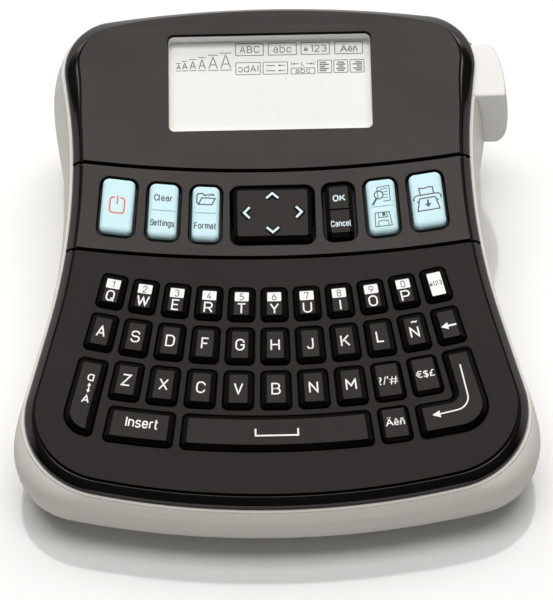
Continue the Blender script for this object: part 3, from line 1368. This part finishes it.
def soften(points, closed):
    """Turns (x, y, radius) corners of a path into short arcs."""
    out, n = [], len(points)
    for i, (x, y, r) in enumerate(points):
        if r == 0 or (not closed and i in (0, n - 1)):
            out.append((x, y))
            continue
        q = Vector((x, y))
        a = (q - Vector(points[i - 1][:2])).normalized()
        b = (Vector(points[(i + 1) % n][:2]) - q).normalized()
        angle = -a.angle_signed(b)
        reach = r * math.tan(abs(angle) / 2)
        start, side = q - a * reach, 1 if angle > 0 else -1
        centre = start + Vector((-a.y, a.x)) * side * r
        for k in range(7):
            t, v = angle * k / 6, start - centre
            out.append((centre.x + v.x * math.cos(t) - v.y * math.sin(t),
                        centre.y + v.x * math.sin(t) + v.y * math.cos(t)))
    return out


def strokes_of(character):
    """The paths of one character, each with whether it is closed."""
    lines = []
    for part in GLYPHS[character].split("|"):
        closed = part.endswith(" c")
        corners = [[float(v) for v in item.split(",")] for item in part.replace(" c", "").split()]
        points = [(p[0], p[1], p[2] if len(p) > 2 else 0) for p in corners]
        lines.append((soften(points, closed), closed))
    return lines


def sign(character, x, y, w, h, width):
    """One character of even strokes, in a box w by h centred at x, y."""
    lines = strokes_of(character)
    xs = [p[0] for path, _ in lines for p in path]
    ys = [p[1] for path, _ in lines for p in path] if character == "~" else [0, GLYPH_H]
    x0, x1, y0, y1 = min(xs), max(xs), min(ys), max(ys)
    a = (w - width) / (x1 - x0) if x1 - x0 > 0.1 else 1
    b = (h - width) / (y1 - y0)
    quads = []
    for path, closed in lines:
        placed = [(x + (px - (x0 + x1) / 2) * a, y + (py - (y0 + y1) / 2) * b) for px, py in path]
        quads += ribbon(placed, width, closed)
    return solid_of(quads)


def word(text, x, y, w, h, width, mirrored=False):
    """A word of even strokes, w wide, with capitals h high, centred at x, y."""
    at, lines = 0.0, []
    for k, character in enumerate(text):
        strokes = strokes_of(character)
        at -= 0.8 if k and text[k - 1:k + 1] in CLOSER_PAIRS else 0.0
        lines += [([(px + at, py) for px, py in path], closed) for path, closed in strokes]
        at += max(p[0] for path, _ in strokes for p in path) + LETTER_GAP
    length = at - LETTER_GAP
    a, b = (w - width) / length * (-1 if mirrored else 1), (h - width) / GLYPH_H
    quads = []
    for path, closed in lines:
        placed = [(x + (px - length / 2) * a, y + (py - GLYPH_H / 2) * b) for px, py in path]
        quads += ribbon(placed, width, closed)
    return solid_of(quads)


print("the word Insert is", len(word("Insert", 0, 0, 9, 3, 0.4)[1]), "faces")


# %% Type, and laying the ink
def letters(text, x, y, w, h, bold):
    """Type set to an exact box w by h, centred at x, y. Returns points and faces."""
    curve = bpy.data.curves.new("type", "FONT")
    curve.body, curve.extrude, curve.offset, curve.resolution_u = text, 0.5, bold, 4
    piece = bpy.data.objects.new("type", curve)
    bpy.context.collection.objects.link(piece)
    graph = bpy.context.evaluated_depsgraph_get()
    mesh = bpy.data.meshes.new_from_object(piece.evaluated_get(graph), depsgraph=graph)
    points, faces = [v.co.copy() for v in mesh.vertices], [tuple(p.vertices) for p in mesh.polygons]
    bpy.data.objects.remove(piece)
    bpy.data.curves.remove(curve)
    bpy.data.meshes.remove(mesh)
    low = [min(p[i] for p in points) for i in (0, 1)]
    high = [max(p[i] for p in points) for i in (0, 1)]
    out = []
    for p in points:
        u = ((p.x - low[0]) / (high[0] - low[0]) - 0.5) * w
        v = ((p.y - low[1]) / (high[1] - low[1]) - 0.5) * h
        out.append((x + u, y + v, p.z + 0.5))
    return out, faces


# ink drops from DROP mm above the cap, and its underside ends UNDERCUT mm below the surface
DROP, UNDERCUT = 6, 0.01


def print_on(cap, place, art, material, thickness=INK, lift=0.0):
    """Lays flat art on a cap and returns it as a piece of its own."""
    points, faces = art if isinstance(art, tuple) else solid_of(art)
    surface = BVHTree.FromPolygons([v.co for v in cap.data.vertices],
                                   [p.vertices for p in cap.data.polygons])
    up = (place.to_3x3() @ Vector((0, 0, 1))).normalized()
    laid = []
    for x, y, z in points:
        start = (place @ Vector((x, y, DROP))) * MM
        hit = surface.ray_cast(start, -up)[0]
        ground = hit if hit else (place @ Vector((x, y, 0))) * MM
        height = z * thickness + lift - (0 if z > 0.5 else UNDERCUT)
        laid.append((ground + up * height * MM) / MM)
    return mesh_from("ink", laid, faces, None, (material,))


print("ink", INK, "mm thick")

# %% [markdown]
# ## The keyboard
#
# A key is one moulding: a flange that holds it under the panel, a straight
# collar, a smooth sloping flank, and a flat grained face. A bevel modifier could
# not change the width of the flank from key to key, so each key is a stack of its
# own outline. Its legend is white ink, apart from the top row, where digits are
# left out of a white bar.

# %% Key caps
FLANGE_TOP, FLANGE_T, FLANGE_OUT, COLLAR = COVER_T + 0.15, 0.7, 0.5, 0.3
# keys with three signs side by side have a wider face, and so a narrower flank
WIDE_FACE, NARROW_FLANK = ("symbols", "currency", "accents"), 0.9


def key_cap(name, spec):
    flat = KEY_GAP + (NARROW_FLANK if name in WIDE_FACE else FLANK)
    flange = KEY_GAP - FLANGE_OUT
    levels = [(flange, -FLANGE_TOP - FLANGE_T), (flange, -FLANGE_TOP),
              (KEY_GAP, -FLANGE_TOP), (KEY_GAP, COLLAR - 0.15), (KEY_GAP + 0.1, COLLAR),
              (flat - 0.06, KEY_TOP - 0.09), (flat, KEY_TOP - 0.035), (flat + 0.08, KEY_TOP)]
    slots = [1] * (len(levels) - 2) + [0]
    rings = [[(x, y, z) for x, y in key_ring(spec)(d)] for d, z in levels]
    return loft("key_" + name, rings, (key_grain, black_flank), slots, (1, 0), place=key_place(spec))


print("flank of a key:", FLANK, "mm wide,", round(KEY_TOP - COLLAR, 2), "mm high")

# %% Legends of the keys
STROKE = 0.45
LETTER_W = 2.65
NARROW = {"I": 0.45, "M": 3.05, "W": 3.6, "J": 1.9, "L": 2.2, "F": 2.2, "E": 2.3, "1": 0.8}


def key_letter(c, y, h):
    """A capital letter on a key, in its own width."""
    return sign(c, 0, y, NARROW.get(c, LETTER_W), h, STROKE)


def legend_of(name, w):
    """What is printed on a key whose face is w wide: art, ink and how far it stands up."""
    if name in KEY_ROWS[0][:10]:
        digit = "1234567890"[KEY_ROWS[0].index(name)]
        return [(panel(-w / 2, 0.6, w / 2, 3.5, 0.3), ink_white, 0),
                (sign(digit, 0, 2.0, 0.75 if digit == "1" else 1.3, 2.2, 0.24), ink_grey, 0.02),
                (key_letter(name.upper(), -1.75, 3.5), ink_white, 0)]
    if name == "num_lock":
        digits = [(sign(c, x, 0.2, digit_w, 1.5, 0.2), ink_grey, 0.02)
                  for c, x, digit_w in (("1", -0.7, 0.45), ("2", 0.2, 0.85), ("3", 1.35, 0.85))]
        return [(panel(-w / 2, -3.7, w / 2, 3.6, 0.3), ink_white, 0),
                (padlock(-1.5, 0.1, 0.85), ink_grey, 0.02)] + digits
    if len(name) == 1:
        return [(key_letter(name.upper(), 0, 3.75), ink_white, 0)]
    caps_up, caps_down = arrow(0.7, 2.5, 0.6, 4.1, 1.0, 0.36), arrow(0.7, 2.5, 0.8, 0.8, 1.0, 0.36)
    turn = soften([(-0.2, 7.6, 0), (-0.9, -6.3, 4.2), (-9.9, -6.45, 0)], False)
    art = {
        "n_tilde": [key_letter("N", -0.35, 3.6), sign("~", 0.5, 2.9, 2.1, 0.8, 0.4)],
        "backspace": [arrow(2.2, -0.5, -2.3, -0.5, 2.1, 0.62)],
        "caps": [sign("round a", 0.55, 6.1, 1.9, 2.9, 0.4), sign("A", 0.7, -1.2, 2.2, 2.6, 0.4),
                 caps_up, caps_down],
        "symbols": [letters("?/'#", 0, -0.2, 5.3, 2.8, 0.0)],
        "currency": [letters("€$£", 0, 0, 5.3, 2.6, 0.005)],
        "accents": [letters("Äêñ", 0, 0.6, 5.4, 2.8, 0.005)],
        "insert": [word("Insert", 0.55, 0.9, 9.2, 3.3, 0.42)],
        "space": [ribbon([(-5.9, 1.1), (-5.9, -1.1), (5.9, -1.1), (5.9, 1.1)], 0.5)],
        "enter": [ribbon(turn, 0.42), [[(-9.7, -5.3), (-12.0, -6.3), (-9.8, -7.6)]]],
    }[name]
    return [(item, ink_white, 0) for item in art]


for name, spec in KEYS.items():
    place = key_place(spec)
    cap = smooth(key_cap(name, spec), 50)
    face_w = spec[2][1][0] - spec[2][0][0] - 2 * (KEY_GAP + FLANK + 0.12)
    ink = [print_on(cap, place, art, colour, INK, lift) for art, colour, lift in legend_of(name, face_w)]
    key = settle_normals(join("key_cap_" + name, [cap] + ink))
    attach(key, "key_" + name)
    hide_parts("key_" + name)
print("key caps:", len(KEYS))

# %% [markdown]
# ## The function keys
#
# The pale blue keys are pillow-shaped, and the black ones are flat like the keys of
# the keyboard. Where one cap serves two functions, a fine groove parts them: a
# boolean with a V-shaped bar, as two separate halves would not move as one. Their
# signs are line drawings, so they are drawn with the same strokes as the letters.

# %% Signs
# a real line this fine is about 0.2 mm wide; it is drawn wider so that it still shows
LINE, FINE_LINE = 0.36, 0.24


def moved_up(lines, y):
    """Moves flat art up the cap by y."""
    return [[(px, py + y) for px, py in quad] for quad in lines]


def power_sign():
    square = ([(0.75, 2.35)] + bow(1.2, 1.45, 0.9, 90, 0, 5) + bow(1.2, -1.65, 0.9, 0, -90, 5)
              + bow(-1.2, -1.65, 0.9, -90, -180, 5) + bow(-1.2, 1.45, 0.9, 180, 90, 5) + [(-0.75, 2.35)])
    return ribbon(square, 0.42) + ribbon([(0, 3.0), (0, 0.3)], 0.42)


def folder_sign(y):
    back = [(-2.0, -1.7), (-2.6, -1.2), (-2.6, 1.3), (-2.2, 1.75), (-0.9, 1.75), (-0.5, 1.3), (0.2, 1.3)]
    front = [(-2.1, -1.75), (-1.2, 0.35), (2.65, 0.35), (1.75, -1.75)]
    loose = [(-0.3, 0.9), (0.4, 1.5), (1.3, 1.7), (2.4, 1.6)]
    sheet = [(0.6, 0.9), (1.4, 1.35), (2.5, 1.3)]
    lines = ribbon(back, LINE) + ribbon(front, LINE, True) + ribbon(loose, FINE_LINE) + ribbon(
        sheet, FINE_LINE)
    return moved_up(lines, y)


def document_sign(y):
    lines = ribbon([(-1.0, -0.9), (-1.0, 2.6), (2.5, 2.9), (2.5, -1.9), (0.5, -2.0)], 0.26)
    for k in range(4):
        lines += ribbon([(0.4 if k else -0.2, 1.9 - k * 0.95), (2.0, 2.05 - k * 0.95)], 0.2)
    lens = bow(-0.7, 0.2, 1.25, 0, 360, 24)[:-1]
    lines += ribbon(lens, LINE, True) + ribbon([(-1.5, -1.0), (-2.7, -2.9)], 0.6)
    return moved_up(lines, y)


def disk_sign(y):
    body = [(-2.4, -2.2), (2.4, -2.2), (1.9, 2.2), (-2.2, 2.2)]
    shutter = [(-1.2, 2.1), (-1.3, 0.6), (1.3, 0.6), (1.1, 2.1)]
    label = [(-1.5, -2.1), (-1.35, -0.5), (1.35, -0.5), (1.5, -2.1)]
    lines = ribbon(body, 0.26, True) + ribbon(shutter, FINE_LINE)
    lines += panel(-0.2, 1.0, 0.7, 2.1) + ribbon(label, FINE_LINE)
    return moved_up(lines, y)


def printer_sign():
    lines = ribbon([(-1.9, 1.4), (-2.2, 3.7), (-0.8, 3.45), (0.9, 3.75), (1.8, 3.5), (1.9, 1.4)], LINE)
    shell = bow(-2.9, 0.35, 1.05, 210, 90, 8) + bow(2.9, 0.35, 1.05, 90, -30, 8)
    lines += ribbon(shell, LINE) + ribbon([(-3.2, -0.65), (-2.5, -0.65)], LINE)
    lines += ribbon([(2.5, -0.65), (3.2, -0.65)], LINE) + ribbon([(-2.3, 0.3), (2.3, 0.3)], LINE)
    lines += ribbon([(-2.3, 0.3), (-3.2, -3.6), (3.2, -3.6), (2.3, 0.3)], LINE)
    lines += ribbon([(0, -0.3), (0, -1.6)], 0.55) + [[(-0.95, -1.5), (0, -2.75), (0.95, -1.5)]]
    return lines


def chevron(angle, distance_mm):
    t = math.radians(angle)
    arm = [(-1.75, -1.6), (0, 0), (1.75, -1.6)]
    return [(x * math.cos(t) - (y + distance_mm) * math.sin(t),
             x * math.sin(t) + (y + distance_mm) * math.cos(t)) for x, y in arm]


CHEVRONS = [chevron(*c) for c in ((0, 6.2), (90, 8.2), (180, 6.4), (270, 8.4))]
CHEVRON_W, CHEVRON_EDGE_W = 0.7, 1.5


def signs_of(name):
    """What is printed on a function key: art, ink and how far it stands up."""
    return {
        "power": [(power_sign(), ink_red, 0)],
        "clear_settings": [(word("Clear", 0, 3.75, 5.4, 2.1, 0.3), ink_grey, 0),
                           (word("Settings", 0, -4.3, 7.0, 2.1, 0.3), ink_grey, 0)],
        "open_format": [(folder_sign(4.2), ink_grey, 0),
                        (word("Format", 0, -4.4, 6.4, 2.1, 0.3), ink_grey, 0)],
        "ok_cancel": [(word("OK", 0.1, 3.7, 3.7, 2.1, 0.4), ink_pale, 0),
                      (word("Cancel", 0.2, -4.5, 5.9, 2.0, 0.28), ink_pale, 0)],
        "preview_save": [(document_sign(3.2), ink_grey, 0), (disk_sign(-4.5), ink_grey, 0)],
        "print": [(printer_sign(), ink_grey, 0)],
        "nav_pad": [(sum((ribbon(c, CHEVRON_W) for c in CHEVRONS), []), ink_pale, 0.3)],
    }[name]


print("signs on the print key:", len(printer_sign()), "quads")


# %% Function caps
def function_cap(name, spec, black):
    """A cap with a crisp flat crown if black, else a soft pillow; crown is (offset, share of height)."""
    crown = ([(0, 0.3), (0.1, 0.4), (1.14, 0.93), (1.2, 0.975), (1.28, 1)] if black else
             [(0, 0.35), (0.1, 0.52), (0.3, 0.7), (0.6, 0.83), (1.0, 0.92), (1.6, 0.97), (2.4, 1)])
    levels = [(STRIP_GAP, -2.9)] + [(STRIP_GAP + d, CROWN * h) for d, h in crown]
    rings = [[(x, y, z) for x, y in function_ring(spec)(d)] for d, z in levels]
    slots = ([1] * (len(levels) - 2) + [0]) if black else [0] * (len(levels) - 1)
    colours = (key_grain, black_flank) if black else (blue_plastic,)
    return loft("cap_" + name, rings, colours, slots, (0, 0), place=function_place(spec))


def groove_bar(spec, y, width):
    """A bar across the cap that leaves a V groove at height y of the cap."""
    half = spec[1] / 2 + 1
    rings = []
    for x in (-half, half):
        shift = x * math.tan(spec[3]) + y
        rings.append([(x, shift - width, CROWN + 0.3), (x, shift, CROWN - 0.35),
                      (x, shift + width, CROWN + 0.3)])
    return loft("groove", rings, (key_grain, black_flank), [1], (1, 1), place=function_place(spec))


def lean(art, spec):
    """Leans flat art the way the cap leans."""
    a, b = math.tan(spec[2]), math.tan(spec[3])
    if isinstance(art, tuple):
        return [(x + y * a, y + x * b, z) for x, y, z in art[0]], art[1]
    return [[(x + y * a, y + x * b) for x, y in q] for q in art]


for name, spec in FUNCTION.items():
    place = function_place(spec)
    black = name in ("nav_pad", "ok_cancel")
    cap = function_cap(name, spec, black)
    if "_" in name and name != "nav_pad":
        combine(cap, groove_bar(spec, 0.1 if black else -0.3, 0.45 if black else 0.3), "DIFFERENCE")
    smooth(cap, 40)
    parts = [cap]
    if name == "nav_pad":
        raised_edge = sum((ribbon(c, CHEVRON_EDGE_W) for c in CHEVRONS), [])
        parts.append(print_on(cap, place, raised_edge, ink_black, 0.28))
    parts += [print_on(cap, place, lean(art, spec), ink, INK, lift) for art, ink, lift in signs_of(name)]
    key = settle_normals(join("function_cap_" + name, parts))
    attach(key, name)
    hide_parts("button_" + name)
print("function caps:", len(FUNCTION))

# %% [markdown]
# ## The display
#
# A reflective liquid-crystal panel in a pale frame. Its fixed symbols are etched
# electrodes that show as thin grey lines: letter sizes, upper and lower case, number
# lock, accents, mirror print, underline, label length and alignment. They lie in the
# panel itself, so they are drawn as a thinner film than the ink on the keys.

# %% Frame and panel
BACK_W, BACK_LEN = 64.4, 35.4
lcd_place = window_place @ Matrix.Translation((0, 0, -WINDOW_DEPTH))
shapes = window_ring()
frame_piece = prism("display_frame", shapes, [(-FRAME_WALL, -5.1), (-FRAME_WALL, -RIM_T - 0.02)],
                    (frame_white,), window_place)
combine(frame_piece, prism("hole", shapes, [(0, -WINDOW_DEPTH), (0, 1)], (frame_white,), window_place),
        "DIFFERENCE")
glass = prism("display_panel", shapes, [(0.02, -0.6), (0.02, 0.02)], (lcd_panel,), lcd_place)
back = prism("display_back", rectangle(BACK_W, BACK_LEN), [(0, -4.3), (0, -1.5)], (bare_grey,), lcd_place)
print("frame of the display:", len(frame_piece.data.polygons), "faces")

# %% Symbols
SEG, LCD_FILM = 0.26, 0.012


def boxed(x0, x1, y0, y1):
    corners = [(x0, y0), (x1, y0), (x1, y1), (x0, y1)]
    return ribbon(rounded(corners, [0.15] * 4, 0, 5, 0.01), SEG, True)


def size_letters():
    """Six letters that grow, each between two bars; every row is left edge, width, height."""
    out = []
    for x, w, h in ((-27.7, 1.5, 2.3), (-26.0, 1.8, 3.0), (-23.8, 2.1, 3.5), (-21.2, 2.4, 4.1),
                    (-18.3, 3.1, 4.8), (-14.8, 3.6, 5.4)):
        out.append(sign("A", x + w / 2, 6.0 + h / 2, w * 0.9, h - 0.6, 0.32))
        bars = ribbon([(x, 5.9), (x + w, 5.9)], SEG) + ribbon([(x, 6.05 + h), (x + w, 6.05 + h)], SEG)
        out.append(solid_of(bars))
    return out


def align_lines(x0, shift):
    """Five lines of text in a box, pushed left, to the middle or right."""
    out = boxed(x0, x0 + 4.1, 4.4, 8.5)
    for k, w in enumerate((2.0, 2.8, 1.6, 2.8, 2.0)):
        left = x0 + 0.55 + shift * (3.0 - w)
        out += ribbon([(left, 7.75 - k * 0.66), (left + w, 7.75 - k * 0.66)], 0.46)
    return out


def display_symbols():
    lines = []
    for x0, x1 in ((-10.0, -1.8), (-0.3, 8.0), (9.4, 17.8), (19.4, 27.6)):
        lines += boxed(x0, x1, 10.5, 14.4)
    lines += boxed(-10.0, -2.8, 4.3, 8.2) + boxed(-1.95, 5.3, 4.3, 8.2)
    for y in (7.1, 5.4):
        lines += ribbon([(-1.1, y), (1.7, y)], 0.32) + arrow(4.6, y, 2.4, y, 0.8, 0.26)
    lines += boxed(6.3, 13.3, 4.2, 6.1)
    for tail, tip, stop in ((8.7, 6.7, 6.5), (10.9, 12.9, 13.1)):
        lines += arrow(tail, 7.5, tip, 7.5, 0.8, 0.24) + ribbon([(stop, 6.9), (stop, 8.1)], 0.24)
    for x0, shift in ((14.2, 0), (19.0, 0.5), (23.8, 1)):
        lines += align_lines(x0, shift)
    lines += padlock(10.8, 12.3, 1.1)
    modes = [word("ABC", -5.9, 12.45, 5.9, 2.3, 0.3), word("abc", 3.85, 12.45, 5.4, 2.4, 0.3),
             word("123", 14.5, 12.45, 4.9, 2.3, 0.3), letters("Äêñ", 23.5, 12.45, 5.2, 2.5, 0.015),
             word("IAbc", -6.35, 6.25, 6.0, 2.4, 0.3, mirrored=True),
             word("abc", 9.8, 5.3, 4.4, 1.7, 0.26), word("L", 9.8, 7.5, 0.8, 1.4, 0.24)]
    return [solid_of(lines)] + modes + size_letters()


symbols = [print_on(glass, lcd_place, art, lcd_ink, LCD_FILM) for art in display_symbols()]
screen = join("display_module", [glass, back, frame_piece] + symbols)
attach(screen, "case")
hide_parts("lcd_module")
print("display:", len(screen.data.polygons), "faces")

# %% [markdown]
# ## Table and light
#
# A white laminate table under a large soft box, with a reflector behind, a weak
# fill from the front, and a dim room. Black plastic shows almost nothing but
# reflections, so the lamps stand where the covers mirror them and the flanks of the
# keys don't. The table rises into a bowl far away, so it has no visible end, and
# it turns to plain white there.

# %% Table
# distances in metres: the table turns white over the first pair, reflections over the second
WHITE_FROM, WHITE_TO = 0.105, 0.24
BACKDROP_FROM, BACKDROP_TO = 0.5, 0.9


def table():
    """Laminate near the object; white for the camera and a backdrop for reflections far away."""
    material, tree = new_material("table_laminate_white")
    path = add(tree, "ShaderNodeLightPath")
    where = add(tree, "ShaderNodeTexCoord").outputs["Object"]
    away = add(tree, "ShaderNodeVectorMath", {0: where}, operation="LENGTH").outputs["Value"]
    # the camera and reflections see the table turn white; diffuse light still finds a pale laminate
    seen = add(tree, "ShaderNodeMath", {0: path.outputs["Is Camera Ray"], 1: path.outputs["Is Glossy Ray"]},
               operation="ADD", use_clamp=True)
    seen = add(tree, "ShaderNodeMath", {0: seen.outputs[0], 1: path.outputs["Is Transmission Ray"]},
               operation="ADD", use_clamp=True)
    colour = add(tree, "ShaderNodeMix", {0: seen.outputs[0], 6: (0.92, 0.92, 0.92, 1),
                                         7: (0.8, 0.8, 0.8, 1)}, data_type="RGBA")
    far = add(tree, "ShaderNodeMapRange", {0: away, 1: WHITE_FROM, 2: WHITE_TO},
              interpolation_type="SMOOTHSTEP")
    far = add(tree, "ShaderNodeMath", {0: far.outputs[0], 1: seen.outputs[0]}, operation="MULTIPLY")
    lit = add(tree, "ShaderNodeBsdfPrincipled", {"Base Color": colour.outputs[2], "Roughness": 0.08,
                                                 "IOR": 1.8})
    # far from the object, reflections find a white backdrop behind and darkness in front
    axes = add(tree, "ShaderNodeSeparateXYZ", {0: where})
    behind = add(tree, "ShaderNodeMath", {0: axes.outputs["Y"], 1: away}, operation="DIVIDE")
    level = add(tree, "ShaderNodeMapRange", {0: behind.outputs[0], 1: 0.0, 2: 0.25, 4: 1.0})
    beyond = add(tree, "ShaderNodeMapRange", {0: away, 1: BACKDROP_FROM, 2: BACKDROP_TO})
    beyond = add(tree, "ShaderNodeMath", {0: beyond.outputs[0], 1: path.outputs["Is Glossy Ray"]},
                 operation="MULTIPLY")
    level = add(tree, "ShaderNodeMix", {0: beyond.outputs[0], 2: 1.0, 3: level.outputs[0]})
    glow = add(tree, "ShaderNodeEmission", {"Color": (1, 1, 1, 1), "Strength": level.outputs[0]})
    both = add(tree, "ShaderNodeMixShader", {0: far.outputs[0], 1: lit.outputs[0], 2: glow.outputs[0]})
    return finish_with(material, tree, both)


def bowl():
    """A flat floor of 5.5 m, a curve of 1.5 m and a wall, turned round the middle."""
    flat, curve, n = 5.5, 1.5, 64
    profile = [(0.001, 0), (0.3, 0), (1, 0), (3, 0), (flat, 0)]
    profile += [(flat + curve * math.sin(t), curve - curve * math.cos(t)) for t in (0.3, 0.6, 0.9, 1.2, 1.5)]
    profile += [(7, 2.4), (7, 4.5)]
    points, faces = [], []
    for r, z in profile:
        points += [(r * math.cos(2 * math.pi * i / n) / MM, r * math.sin(2 * math.pi * i / n) / MM, z / MM)
                   for i in range(n)]
    for k in range(len(profile) - 1):
        faces += [(k * n + i, k * n + (i + 1) % n, (k + 1) * n + (i + 1) % n, (k + 1) * n + i)[::-1]
                  for i in range(n)]
    faces.append(list(range(n)))
    return smooth(mesh_from("table", points, faces, None, (table(),)))


bowl()
print("table material:", len(bpy.data.materials["table_laminate_white"].node_tree.nodes), "nodes")


# %% Lamps and room
def area_light(name, place, size, power):
    """A rectangular lamp that looks at the middle of the table."""
    light = bpy.data.lights.new(name, "AREA")
    light.shape, light.size, light.size_y, light.energy = "RECTANGLE", size[0], size[1], power
    light.color = (1.0, 0.982, 0.96)
    lamp = bpy.data.objects.new(name, light)
    lamp.location = place
    lamp.rotation_euler = (-Vector(place)).to_track_quat("-Z", "Y").to_euler()
    bpy.context.collection.objects.link(lamp)


# evens out the covers and the table
area_light("overhead_soft_box", (0, 0.1, 1.1), (1.3, 0.5), 9.5)
# lies where the arc of the top mirrors it, which makes the grain shine softly
area_light("rear_reflector", (0, 0.74, 0.88), (2.0, 0.45), 8.5)
# opens up the front of the case and the near sides of the keys
area_light("front_fill", (0, -1.4, 0.3), (1.6, 0.5), 3.6)
world = bpy.data.worlds.new("dim_room")
world.use_nodes = True
world.node_tree.nodes["Background"].inputs["Color"].default_value = (1, 1, 1, 1)
world.node_tree.nodes["Background"].inputs["Strength"].default_value = 0.06
bpy.context.scene.world = world
print("lamps:", len(bpy.data.lights))
